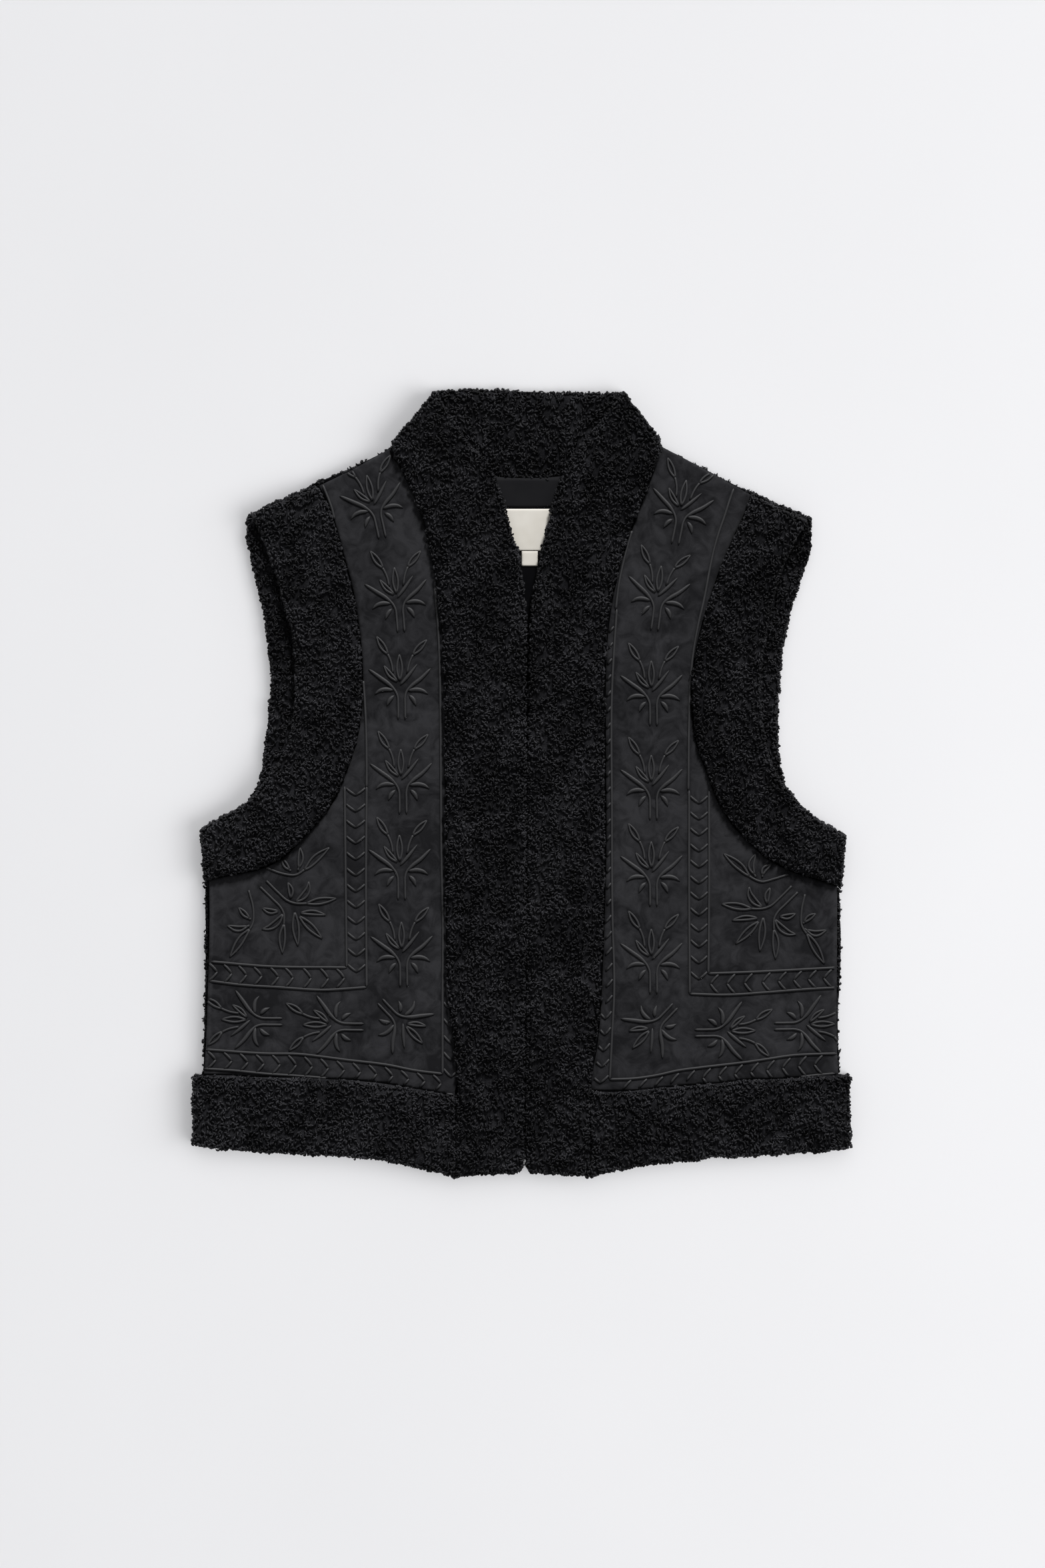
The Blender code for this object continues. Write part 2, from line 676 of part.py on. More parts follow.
def collar_fold(side):
    """The fold at one end of the collar, from the neck up to the band's tip."""
    seam = band_edges(side)[0]
    return path(seam, np.linspace(NECK_ROW, len(seam) - 1, COLLAR_ROWS + 1))


def collar_back(collection):
    """Back of the stand collar, lying inner side up, from the neck seam to its upper edge."""
    left, right = collar_fold("l"), collar_fold("r")
    left[:, 0] += 0.4
    right[:, 0] -= 0.4
    end = path(COLLAR_TOP, np.linspace(0, len(COLLAR_TOP) - 1, COLLAR_COLUMNS + 1))
    start_x = np.linspace(left[0, 0], right[0, 0], COLLAR_COLUMNS + 1)
    start = np.column_stack([start_x, neck_height(start_x, NECK_LOW, NECK_DEPTH, NECK_HALF) + 0.4])
    left[-1], right[-1] = end[0], end[-1]
    left[0], right[0] = start[0], start[-1]
    across = np.linspace(0, 1, COLLAR_COLUMNS + 1)
    grid = patch(start, end, left, right, across)
    edges = {"left": FREE, "right": FREE, "start": NECK_SEAM, "end": FREE}
    low, top = pile_heights(grid, SURFACE, edges, 0.0)
    wall("collar_back", grid, low, top, PILE, collection)


def tag(name, centre, width, low, high, finish, collection):
    """Small woven label lying on the lining."""
    across = np.linspace(centre - width / 2, centre + width / 2, 5)
    up = np.linspace(low, high, 4)
    grid = np.stack(np.meshgrid(across, up), axis=2)
    wall(name, grid, LABEL_BASE, LABEL_BASE + LABEL_WALL, finish, collection)


def main():
    """Clear the scene and make every piece of the vest."""
    for item in list(bpy.data.objects):
        bpy.data.objects.remove(item)
    collection = bpy.data.collections.new("vest")
    bpy.context.scene.collection.children.link(collection)
    seams = {side: armhole_bands(side, collection) for side in ("l", "r")}
    back_body(seams, collection)
    back_hem(collection)
    collar_back(collection)
    back_lining(seams, collection)
    back_neck_facing(collection)
    tag("neck_label", LABEL_CENTRE, LABEL_WIDTH, LABEL_BOTTOM, LABEL_TOP, WOVEN, collection)
    tag("size_tab", TAB_CENTRE, TAB_WIDTH, TAB_BOTTOM, TAB_TOP, WOVEN, collection)
    for side in ("l", "r"):
        front_panel(side, collection)
        front_band(side, collection)
        front_hem(side, collection)


main()
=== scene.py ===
"""Looks of a cropped open-front vest laid flat: curly pile, suede, embroidery, lining and labels.

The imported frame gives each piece's place and outline. Sizes are in millimetres unless a name
ends in _m, and meshes are in metres.
"""

import logging
from dataclasses import dataclass
from enum import Enum

import bmesh
import bpy
import numpy as np
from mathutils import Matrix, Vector
from mathutils.geometry import delaunay_2d_cdt


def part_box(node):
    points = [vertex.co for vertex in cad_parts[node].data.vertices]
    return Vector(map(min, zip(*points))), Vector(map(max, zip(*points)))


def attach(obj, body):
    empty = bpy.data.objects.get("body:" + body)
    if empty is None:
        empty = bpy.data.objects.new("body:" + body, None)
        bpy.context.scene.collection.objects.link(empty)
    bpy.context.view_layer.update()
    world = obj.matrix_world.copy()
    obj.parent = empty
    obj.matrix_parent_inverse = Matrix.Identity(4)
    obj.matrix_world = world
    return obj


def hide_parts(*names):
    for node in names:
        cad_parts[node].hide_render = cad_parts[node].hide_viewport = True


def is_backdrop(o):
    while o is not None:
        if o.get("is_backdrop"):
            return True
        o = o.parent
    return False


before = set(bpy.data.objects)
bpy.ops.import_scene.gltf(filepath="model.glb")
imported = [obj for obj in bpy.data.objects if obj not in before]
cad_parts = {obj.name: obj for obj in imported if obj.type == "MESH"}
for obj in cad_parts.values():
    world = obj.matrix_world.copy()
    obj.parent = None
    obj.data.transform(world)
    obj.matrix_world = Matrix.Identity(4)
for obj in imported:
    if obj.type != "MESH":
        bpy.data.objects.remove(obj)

MM = 0.001
ROOT = "root"
LOG = logging.getLogger("vest")
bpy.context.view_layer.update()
SHEET_CENTRE = (782.5, 1174.0)  # the vest's origin on the layout sheet, in half millimetres
BAND_TURN = 20.0  # a wave texture at scale 1 has a band every 2 pi / 20
OUTLINE_STEP = 1.5 * MM  # the step at which an outline is read for distances from it
BLOCK = 2000  # how many places are compared with an outline at once
FOOTING = 0.05 * MM  # the least height of the pile's ground above its node's underside


class Side(Enum):
    """A front of the vest, as seen from above."""

    LEFT = "l"
    RIGHT = "r"


class Wire:
    """One output socket, with arithmetic that adds Math nodes."""

    def __init__(self, graph: "Graph", socket: bpy.types.NodeSocket) -> None:
        """Keep the socket and the graph that it belongs to."""
        self.graph = graph
        self.socket = socket

    def math(self, operation: str, first: object, second: object) -> "Wire":
        """Add a Math node; its two values are numbers or wires."""
        return self.graph.add("ShaderNodeMath", {"operation": operation}, {0: first, 1: second})

    def __add__(self, other: object) -> "Wire":
        """Sum."""
        return self.math("ADD", self, other)

    __radd__ = __add__

    def __sub__(self, other: object) -> "Wire":
        """Difference."""
        return self.math("SUBTRACT", self, other)

    def __rsub__(self, other: object) -> "Wire":
        """Difference from a number."""
        return self.math("SUBTRACT", other, self)

    def __mul__(self, other: object) -> "Wire":
        """Product."""
        return self.math("MULTIPLY", self, other)

    __rmul__ = __mul__


class Graph:
    """A material's nodes, round one Principled shader."""

    def __init__(self, name: str) -> None:
        """Make an empty material with its shader and its output."""
        self.material = bpy.data.materials.new(name)
        self.material.use_nodes = True
        self.nodes = self.material.node_tree.nodes
        self.links = self.material.node_tree.links
        self.shader = self.nodes["Principled BSDF"]
        place = self.nodes.new("ShaderNodeTexCoord")
        self.place = Wire(self, place.outputs["Object"])

    def feed(self, socket: bpy.types.NodeSocket, value: object) -> None:
        """Link a wire to an input socket, or set its value."""
        if isinstance(value, Wire):
            self.links.new(value.socket, socket)
        else:
            socket.default_value = value

    def add(self, kind: str, settings: dict, values: dict, output: object = 0) -> Wire:
        """Add a node.

        Args:
            kind: the node's type.
            settings: its properties.
            values: its inputs by name or index, as numbers or wires.
            output: the name or index of the output that is returned.

        Returns:
            The output's wire.
        """
        node = self.nodes.new(kind)
        for key, value in settings.items():
            setattr(node, key, value)
        for key, value in values.items():
            self.feed(node.inputs[key], value)
        return Wire(self, node.outputs[output])

    def noise(self, per_mm: float, detail: float = 2.0, rough: float = 0.5, skew: float = 0.0) -> Wire:
        """Noise on Object coordinates, with a scale in features per millimetre."""
        values = {"Vector": self.place, "Scale": per_mm / MM, "Detail": detail, "Roughness": rough,
                  "Distortion": skew}
        return self.add("ShaderNodeTexNoise", {}, values)

    def bands(self, place: Wire, axis: str, pitch: float, skew: float) -> Wire:
        """Threads side by side along an axis, pitch millimetres from one to the next."""
        values = {"Vector": place, "Scale": 2 * np.pi / (pitch * MM) / BAND_TURN, "Distortion": skew}
        return self.add("ShaderNodeTexWave", {"wave_type": "BANDS", "bands_direction": axis}, values)

    def blend(self, share: Wire, low: tuple, high: tuple) -> Wire:
        """Mix of two colours."""
        values = {0: share, 6: (*low, 1.0), 7: (*high, 1.0)}
        return self.add("ShaderNodeMix", {"data_type": "RGBA"}, values, 2)

    def attribute(self, name: str) -> Wire:
        """A number that the mesh keeps for each point."""
        return self.add("ShaderNodeAttribute", {"attribute_name": name}, {}, "Fac")

    def bump(self, height: Wire, depth: float, strength: float = 1.0) -> Wire:
        """Normal of a relief that is depth millimetres high."""
        values = {"Height": height, "Distance": depth * MM, "Strength": strength}
        return self.add("ShaderNodeBump", {}, values)

    def finish(self, colour: Wire, roughness: float, gloss: float, more: dict) -> bpy.types.Material:
        """Set or link the shader's sockets and return the material."""
        values = {"Base Color": colour, "Roughness": roughness, "Specular IOR Level": gloss, **more}
        for key, value in values.items():
            self.feed(self.shader.inputs[key], value)
        return self.material


@dataclass(frozen=True)
class PileFinish:
    """Black curly pile: matt fibres with a faint grey glint, in darker and lighter clumps.

    Fibre is how many fibres lie in a millimetre, and mottle how much they differ in colour.
    """

    low: tuple = (0.0034, 0.0034, 0.0043)
    high: tuple = (0.0250, 0.0250, 0.0284)
    name: str = "pile_curls"
    gloss: float = 0.2
    roughness: float = 0.5
    fibre: float = 2.2
    depth: float = 0.3
    mottle: float = 0.25

    def material(self) -> bpy.types.Material:
        """Build the material; the mesh's tint attribute lightens some of the curls at random and per piece,
        and holds painted light on raised curls and painted shade on sunk ones.
        """
        graph = Graph(self.name)
        cloud = graph.noise(0.038, 3.0, 0.6, 0.8)
        clump = graph.noise(0.13, 2.0, 0.6, 0.5)
        fibre = graph.noise(self.fibre, 2.0, 0.6, 1.2)
        share = graph.attribute("tint") * 0.5 + cloud * 3.4 + clump * 2.1 + (fibre - 0.5) * self.mottle
        colour = graph.blend(share - 2.57, self.low, self.high)
        relief = graph.bump(fibre, self.depth, 0.7)
        return graph.finish(colour, self.roughness, self.gloss, {"Normal": relief})


@dataclass(frozen=True)
class SuedeFinish:
    """Charcoal suede: a short nap, brushed lighter and darker in patches."""

    dark: tuple = (0.0066, 0.0066, 0.0079)
    light: tuple = (0.0262, 0.0262, 0.0290)

    def material(self) -> bpy.types.Material:
        """Build the material; the mesh's press attribute darkens the cloth beside the stitches, painted
        shade along with pressed nap, and below 0 lightens it along the side folds, a painted highlight.
        """
        graph = Graph("suede")
        patch = graph.noise(0.020, 4.0, 0.55, 0.9)
        smear = graph.noise(0.075, 3.0, 0.6, 1.2)
        grain = graph.noise(1.3, 3.0, 0.7)
        dent = graph.noise(0.045, 1.0)
        # press: painted shade beside the stitches, and below 0 a painted highlight along the side folds
        share = patch * 2.3 + smear * 2.4 + grain * 0.25 - 1.99 - graph.attribute("press") * 0.27
        height = grain * 0.35 + graph.noise(2.8, 1.0) * 0.25 + dent * 3.0
        nap = {"Sheen Weight": 0.04, "Sheen Roughness": 0.6, "Normal": graph.bump(height, 0.28, 0.8)}
        return graph.finish(graph.blend(share, self.dark, self.light), 0.85, 0.10, nap)


@dataclass(frozen=True)
class ThreadFinish:
    """Satin stitch in the suede's own colour, a little glossier, with the threads laid across."""

    dark: tuple = (0.0170, 0.0170, 0.0184)
    light: tuple = (0.0330, 0.0330, 0.0350)
    pitch: float = 0.34

    def material(self) -> bpy.types.Material:
        """Build the material; the UV map runs along each stitched line in metres."""
        graph = Graph("satin_stitch")
        thread = graph.bands(graph.add("ShaderNodeUVMap", {"uv_map": "along"}, {}), "X", self.pitch, 0.6)
        share = thread * 0.55 + graph.noise(0.05, 2.0) * 0.6 - 0.05
        colour = graph.blend(share, self.dark, self.light)
        return graph.finish(colour, 0.5, 0.32, {"Normal": graph.bump(thread, 0.07, 0.45)})


@dataclass(frozen=True)
class WeaveFinish:
    """A plain weave of fine threads."""

    name: str
    dark: tuple
    light: tuple
    pitch: float
    roughness: float
    gloss: float

    def material(self) -> bpy.types.Material:
        """Build the material from two crossed waves on Object coordinates."""
        graph = Graph(self.name)
        warp, weft = (graph.bands(graph.place, axis, self.pitch, 0.4) for axis in "XY")
        weave = warp * 0.5 + weft * 0.5
        share = weave * 0.25 + graph.noise(0.03, 3.0) * 2.2 - 0.75
        colour = graph.blend(share, self.dark, self.light)
        return graph.finish(colour, self.roughness, self.gloss, {"Normal": graph.bump(weave, 0.05, 0.35)})


def cad_mesh(node: str) -> tuple:
    """Merged copy of a CAD node's mesh.

    Args:
        node: the node's name.

    Returns:
        Points (n, 3), triangles (m, 3) and the triangles' normals (m, 3), in metres.
    """
    work = bmesh.new()
    work.from_mesh(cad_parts[node].data)
    bmesh.ops.remove_doubles(work, verts=work.verts, dist=1e-6)
    bmesh.ops.triangulate(work, faces=work.faces)
    work.normal_update()
    points = np.array([vertex.co[:] for vertex in work.verts])
    triangles = np.array([[vertex.index for vertex in face.verts] for face in work.faces])
    normals = np.array([face.normal[:] for face in work.faces])
    work.free()
    return points, triangles, normals


@dataclass
class Outline:
    """A piece's outline seen from above: a closed run of points with its corners."""

    points: np.ndarray
    corners: np.ndarray

    SHARP = np.radians(35.0)  # a turn above this is a corner
    RISING = 0.02  # a face whose normal rises more than this is part of the top
    SAME = 1e-5  # points closer than this are one

    @classmethod
    def of(cls, node: str) -> "Outline":
        """Read the outline of a CAD node.

        It is the run of edges between the top's faces and the upright faces of the rim.

        Args:
            node: the node's name.

        Returns:
            The outline, anticlockwise from above.
        """
        points, triangles, normals = cad_mesh(node)
        edges = np.sort(np.concatenate([triangles[:, pair] for pair in ([0, 1], [1, 2], [2, 0])]), axis=1)
        above = np.tile(normals[:, 2] > cls.RISING, 3)
        keys, where = np.unique(edges, axis=0, return_inverse=True)
        count = np.bincount(where.ravel(), weights=above.astype(float), minlength=len(keys))
        rim = keys[count == 1]
        nearby = {}
        for first, second in rim.tolist():
            nearby.setdefault(first, []).append(second)
            nearby.setdefault(second, []).append(first)
        run = [rim[0, 0]]
        last = None
        while True:
            options = [item for item in nearby[run[-1]] if item != last]
            last = run[-1]
            if options[0] == run[0] or len(run) > len(rim):
                break
            run.append(options[0])
        loop = points[run][:, :2]
        loop = loop[np.linalg.norm(loop - np.roll(loop, 1, axis=0), axis=1) > cls.SAME]
        after = np.roll(loop, -1, axis=0)
        if (loop[:, 0] * after[:, 1] - loop[:, 1] * after[:, 0]).sum() < 0:
            loop = loop[::-1]
        step = np.roll(loop, -1, axis=0) - loop
        angle = np.arctan2(step[:, 1], step[:, 0])
        turn = (angle - np.roll(angle, 1) + np.pi) % (2 * np.pi) - np.pi
        return cls(loop, np.flatnonzero(np.abs(turn) > cls.SHARP))

    def smooth(self, step_m: float) -> np.ndarray:
        """Round the outline between its corners.

        Between two corners the points are joined by cubics whose slopes come from their
        neighbours, and read at even steps.

        Args:
            step_m: the distance between the new points.

        Returns:
            The new closed run of points.
        """
        parts = []
        count = len(self.points)
        for index, first in enumerate(self.corners):
            last = self.corners[(index + 1) % len(self.corners)]
            last = last if last > first else last + count
            stretch = self.points[np.arange(first, last + 1) % count]
            length = travelled(stretch)
            places = np.linspace(0, length[-1], max(2, int(round(length[-1] / step_m)) + 1))[:-1]
            parts.append(cubic(stretch, length, places))
        return np.concatenate(parts)

    @property
    def area(self) -> float:
        """Area inside, in square metres."""
        after = np.roll(self.points, -1, axis=0)
        return abs((self.points[:, 0] * after[:, 1] - self.points[:, 1] * after[:, 0]).sum()) / 2

    @property
    def flat(self) -> tuple:
        """Width and length of the box round it, in metres."""
        size = self.points.max(0) - self.points.min(0)
        return float(size[0]), float(size[1])


def travelled(path: np.ndarray) -> np.ndarray:
    """Length along a path up to each of its points."""
    return np.concatenate([[0], np.cumsum(np.linalg.norm(np.diff(path, axis=0), axis=1))])


def unit(vectors: np.ndarray) -> np.ndarray:
    """Vectors in rows, brought to the length 1."""
    return vectors / np.linalg.norm(vectors, axis=1)[:, None]


def cubic(points: np.ndarray, length: np.ndarray, places: np.ndarray) -> np.ndarray:
    """Smooth curve through points.

    Each stretch is a cubic that starts and ends with the slope between a point's
    neighbours, over the length between them.

    Args:
        points: the points, (n, 2) or (n, 3).
        length: the length along the run at each point.
        places: the lengths at which the curve is read.

    Returns:
        The curve's points.
    """
    slope = np.gradient(points, length, axis=0) if len(points) > 2 else np.tile(
        (points[1] - points[0]) / (length[1] - length[0]), (2, 1))
    first = np.clip(np.searchsorted(length, places, side="right") - 1, 0, len(points) - 2)
    span = (length[first + 1] - length[first])[:, None]
    t = (places - length[first])[:, None] / span
    value = points[first] * (2 * t**3 - 3 * t**2 + 1) + points[first + 1] * (3 * t**2 - 2 * t**3)
    return value + span * (slope[first] * (t**3 - 2 * t**2 + t) + slope[first + 1] * (t**3 - t**2))


def inside(loop: np.ndarray, places: np.ndarray) -> np.ndarray:
    """Which places lie inside a closed run of points.

    A place is inside when a line from it to the right crosses an odd number of edges.

    Args:
        loop: the run, (n, 2).
        places: the places, (m, 2).

    Returns:
        True for each place inside.
    """
    (x0, y0), (x1, y1) = loop.T, np.roll(loop, -1, axis=0).T
    parts = []
    with np.errstate(divide="ignore", invalid="ignore"):
        for block in np.array_split(places, max(1, len(places) // BLOCK)):
            x, y = block[:, :1], block[:, 1:2]
            spans = (y0 > y) != (y1 > y)
            cross = x0 + (y - y0) * (x1 - x0) / (y1 - y0)
            parts.append((spans & (x < cross)).sum(1) % 2 == 1)
    return np.concatenate(parts)


def nearest(places: np.ndarray, targets: np.ndarray) -> np.ndarray:
    """Distance from each place to the nearest target, in the places' own units."""
    parts = []
    for block in np.array_split(places, max(1, len(places) // BLOCK)):
        apart = (block[:, None, axis] - targets[None, :, axis] for axis in (0, 1))
        parts.append(np.sqrt(sum(step**2 for step in apart).min(1)))
    return np.concatenate(parts)


def value_noise(places: np.ndarray, cell: float, seed: int) -> np.ndarray:
    """Smooth noise from -1 to 1 at places, with one random value at each corner of a cell.

    The corners' values are blended by 3t^2 - 2t^3 along each axis.

    Args:
        places: points, (n, 2) or (n, 3), in millimetres.
        cell: the cell's size in millimetres.
        seed: which noise.

    Returns:
        The noise at each place.
    """
    table = np.random.default_rng(seed).uniform(-1, 1, 4096)
    scaled = places / cell
    low = np.floor(scaled).astype(np.int64)
    t = scaled - low
    t = t * t * (3 - 2 * t)
    total = np.zeros(len(places))
    axes = places.shape[1]
    primes = np.array([73856093, 19349663, 83492791])[:axes]
    for corner in range(2**axes):
        bits = np.array([(corner >> axis) & 1 for axis in range(axes)])
        key = ((low + bits) * primes).sum(1)
        weight = np.where(bits, t, 1 - t).prod(1)
        total += weight * table[(key ^ (key >> 13)) & 4095]
    return total


def make_mesh(name: str, points: np.ndarray, faces: list, finish: bpy.types.Material) -> bpy.types.Object:
    """Put arrays into a mesh object at the origin.

    Args:
        name: the piece's name.
        points: its points, (n, 3), in metres.
        faces: arrays of faces, each (m, 3) or (m, 4).
        finish: its material.

    Returns:
        The object.
    """
    mesh = bpy.data.meshes.new(name)
    loops = np.concatenate([block.ravel() for block in faces]).astype(np.int32)
    sizes = np.concatenate([np.full(len(block), block.shape[1]) for block in faces])
    mesh.vertices.add(len(points))
    mesh.vertices.foreach_set("co", points.astype(np.float32).ravel())
    mesh.loops.add(len(loops))
    mesh.loops.foreach_set("vertex_index", loops)
    mesh.polygons.add(len(sizes))
    mesh.polygons.foreach_set("loop_start", np.concatenate([[0], np.cumsum(sizes)[:-1]]).astype(np.int32))
    mesh.update(calc_edges=True)
    mesh.validate()
    mesh.shade_smooth()
    mesh.materials.append(finish)
    piece = bpy.data.objects.new(name, mesh)
    bpy.context.scene.collection.objects.link(piece)
    return piece


def values_of(items: bpy.types.bpy_prop_collection, name: str, kind: type, each: int = 1) -> np.ndarray:
    """One property of all items of a mesh, with each numbers for an item."""
    values = np.empty(len(items) * each, dtype=kind)
    items.foreach_get(name, values)
    return values if each == 1 else values.reshape(-1, each)


def keep_number(piece: bpy.types.Object, name: str, values: np.ndarray) -> None:
    """Store one number for each point of a piece's mesh."""
    layer = piece.data.attributes.new(name, "FLOAT", "POINT")
    layer.data.foreach_set("value", values.astype(np.float32))


def settle(piece: bpy.types.Object, slot: str, *nodes: str) -> bpy.types.Object:
    """Let a piece ride on the root and stand for CAD nodes."""
    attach(piece, ROOT)
    if nodes:
        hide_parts(*nodes)
    LOG.info("%s: %d faces", piece.name, len(piece.data.polygons))
    return piece


@dataclass
class Relief:
    """Smooth height over the plan, from the top of a CAD node."""

    places: np.ndarray
    heights: np.ndarray

    SPREAD = 9.0 * MM
    TOP = 0.3  # a face whose normal rises more than this is part of the top or its round edge

    @classmethod
    def of(cls, node: str) -> "Relief":
        """Read the points of a node's top."""
        points, triangles, normals = cad_mesh(node)
        top = np.unique(triangles[normals[:, 2] > cls.TOP])
        return cls(points[top][:, :2], points[top][:, 2])

    def at(self, places: np.ndarray) -> np.ndarray:
        """Height at places.

        It is the mean of the top's heights, each weighted by exp(-(distance / 9 mm)^2).

        Args:
            places: points, (n, 2), in metres.

        Returns:
            Heights in metres.
        """
        parts = []
        for block in np.array_split(places, max(1, len(places) // (2 * BLOCK))):
            gap = ((block[:, None] - self.places[None]) ** 2).sum(2) / self.SPREAD**2
            weight = np.exp(-(gap - gap.min(1, keepdims=True)))
            parts.append((weight * self.heights).sum(1) / weight.sum(1))
        return np.concatenate(parts)


@dataclass
class ClothPiece:
    """A flat piece of cloth cut to a CAD node's outline, with a fine top and a plain underside.

    Step is the distance between the top's points, low the height of the underside, and each
    ripple a cell, an amount and a seed of noise. The worn lightens a line along the side
    edge: a painted highlight where the cloth folds.
    """

    node: str
    slot: str
    step: float
    low: float
    edge_drop: float
    edge_width: float
    ripples: tuple = ()
    side_reach: float = 0.0
    band_reach: float = 0.0
    worn: float = 0.0

    SIDE = -215.0  # the left front's side edge lies beyond this x
    ROW = 0.866  # the grid's rows are this share of a step apart
    CLEAR = 0.6  # and its points this share of a step inside the outline
    UNDER_STEPS = 5  # how many times coarser the underside is than the top
    PULL = 2.4  # how wide the cloth is drawn in beside a stitch
    PULL_DEPTH = 0.35
    FOLD_REACH = 8.0  # how far in from its outermost point the side edge runs
    # the painted highlight lies this far inside the side edge, in mm
    FOLD_IN = 1.9

    def prepare(self) -> "ClothPiece":
        """Read the outline and the top's height from the frame.

        The left side edge, where x is below -215, moves out by side_reach *
        clip((-100 - y) / 110, 0, 1), in mm, and the edge beside the front band, where y is
        above -232, by band_reach * clip(2 - distance to the band, 0, 1).
        """
        self.outline = Outline.of(self.node)
        self.relief = Relief.of(self.node)
        self.rim = self.outline.smooth(self.step * MM)
        x, y = self.rim.T / MM
        share = np.clip((-100 - y) / 110, 0, 1) * np.clip((self.SIDE - x) / 15, 0, 1)
        self.rim[:, 0] -= share * self.side_reach * MM
        if self.band_reach:
            band = Outline.of(self.node.replace("panel", "band")).smooth(OUTLINE_STEP)
            near = np.clip(2 - nearest(self.rim, band) / MM, 0, 1) * np.clip((y + 232) / 8, 0, 1)
            self.rim[:, 0] += near * self.band_reach * MM
        return self

    def height(self, places: np.ndarray) -> np.ndarray:
        """Height of the top at places inside.

        It is the frame's relief plus soft ripples, lowered along the edge by
        edge_drop * exp(-(distance / edge_width)^2).

        Args:
            places: points, (n, 2), in metres.

        Returns:
            Heights in metres.
        """
        level = self.relief.at(places)
        for cell, amount, seed in self.ripples:
            level = level + value_noise(places / MM, cell, seed) * amount * MM
        gap = nearest(places, self.rim)
        return level - self.edge_drop * MM * np.exp(-((gap / (self.edge_width * MM)) ** 2))

    def triangles(self, step_m: float) -> tuple:
        """Fill the outline with triangles on a grid of points.

        Every other row of the grid is shifted by half a step.

        Args:
            step_m: the distance between the points.

        Returns:
            Plan points, whose first ones are the outline's, and triangles.
        """
        low, high = self.rim.min(0), self.rim.max(0)
        rows = np.arange(low[1], high[1], step_m * self.ROW)
        columns = np.arange(low[0], high[0], step_m)
        x, y = np.meshgrid(columns, rows)
        x = x + (np.arange(len(rows)) % 2)[:, None] * step_m / 2
        spots = np.column_stack([x.ravel(), y.ravel()])
        spots = spots[inside(self.rim, spots)]
        spots = spots[nearest(spots, self.rim) > step_m * self.CLEAR]
        count = len(self.rim)
        edges = [(index, (index + 1) % count) for index in range(count)]
        flat = np.concatenate([self.rim, spots])
        made = delaunay_2d_cdt([Vector(place) for place in flat.tolist()], edges, [], 1, 1e-9)
        return np.array([place[:] for place in made[0]]), np.array(made[2])

    def closed(self) -> tuple:
        """Closed mesh: the fine top, the plain underside, and a wall between their outlines.

        Returns:
            Points in metres and triangles.
        """
        plan, top = self.triangles(self.step * MM)
        under_plan, under = self.triangles(self.step * MM * self.UNDER_STEPS)
        points = np.concatenate([
            np.column_stack([plan, self.height(plan)]),
            np.column_stack([under_plan, np.full(len(under_plan), self.low * MM)]),
        ])
        count = len(self.rim)
        first = np.arange(count)
        second = (first + 1) % count
        shift = len(plan)
        wall = np.concatenate([
            np.column_stack([first, first + shift, second + shift]),
            np.column_stack([first, second + shift, second]),
        ])
        return points, np.concatenate([top, under[:, ::-1] + shift, wall])

    def build(self, finish: bpy.types.Material, press: np.ndarray | None = None) -> bpy.types.Object:
        """Make the piece.

        Beside stitching it sinks by 0.35 mm * exp(-(distance / 2.4 mm)^2). Its press number is
        that exponential, painted shade beside the stitches along with pressed nap, less
        worn * exp(-(distance from the side edge - 1.9 mm)^2), a painted highlight on the fold.

        Args:
            finish: its material.
            press: the stitched places, (n, 2), in metres.

        Returns:
            The piece.
        """
        points, faces = self.closed()
        dent_and_painted_light = np.zeros(len(points))
        # the press number: painted shade beside the stitches, along with pressed nap
        if press is not None:
            top = points[:, 2] > (self.low + 0.1) * MM
            gap = nearest(points[top][:, :2], press)
            dent_and_painted_light[top] = np.exp(-((gap / (self.PULL * MM)) ** 2))
            points[:, 2] -= self.PULL_DEPTH * MM * dent_and_painted_light
        # painted highlight: a lighter line 1.9 mm inside the side edge, where the fold catches the light
        if self.worn:
            reach = np.abs(self.rim[:, 0])
            fold = nearest(points[:, :2], self.rim[reach > reach.max() - self.FOLD_REACH * MM])
            dent_and_painted_light -= self.worn * np.exp(-((fold / MM - self.FOLD_IN) ** 2))
        piece = make_mesh(self.node + "_cloth", points, [faces], finish)
        keep_number(piece, "press", dent_and_painted_light)
        return settle(piece, self.slot, self.node)


BORDER = 1.06  # half width of a border line
ARM = 1.02  # half width of a chevron's arm
STEM = 0.92  # half width of a hollow leaf's stem
LINE_STEP, LEAF_STEP, EDGE_STEP, STEM_STEP = 1.8, 1.5, 1.4, 1.6  # from point to point of a line


@dataclass
class Stitch:
    """One stitched line: its plan points in millimetres and its half width at each."""

    points: np.ndarray
    half: np.ndarray


def on_vest(sheet: np.ndarray) -> np.ndarray:
    """Places of the layout sheet, counted in half millimetres right and down, in millimetres."""
    return np.column_stack([(sheet[:, 0] - SHEET_CENTRE[0]) / 2, (SHEET_CENTRE[1] - sheet[:, 1]) / 2])


def drawn(points: list | tuple, half: float, taper: float = 0.35) -> Stitch:
    """Smooth line through layout places.

    Args:
        points: the places, in half millimetres.
        half: the half width in millimetres.
        taper: the share of the half width that is left at the ends.

    Returns:
        The line, read every 1.8 mm.
    """
    path = on_vest(np.array(points, dtype=float))
    length = travelled(path)
    places = np.linspace(0, length[-1], max(4, int(length[-1] / LINE_STEP)))
    width = np.full(len(places), half)
    ends = np.minimum(places, places[::-1])
    width *= taper + (1 - taper) * np.clip(ends / 1.6, 0, 1) ** 0.5
    return Stitch(cubic(path, length, places), width)


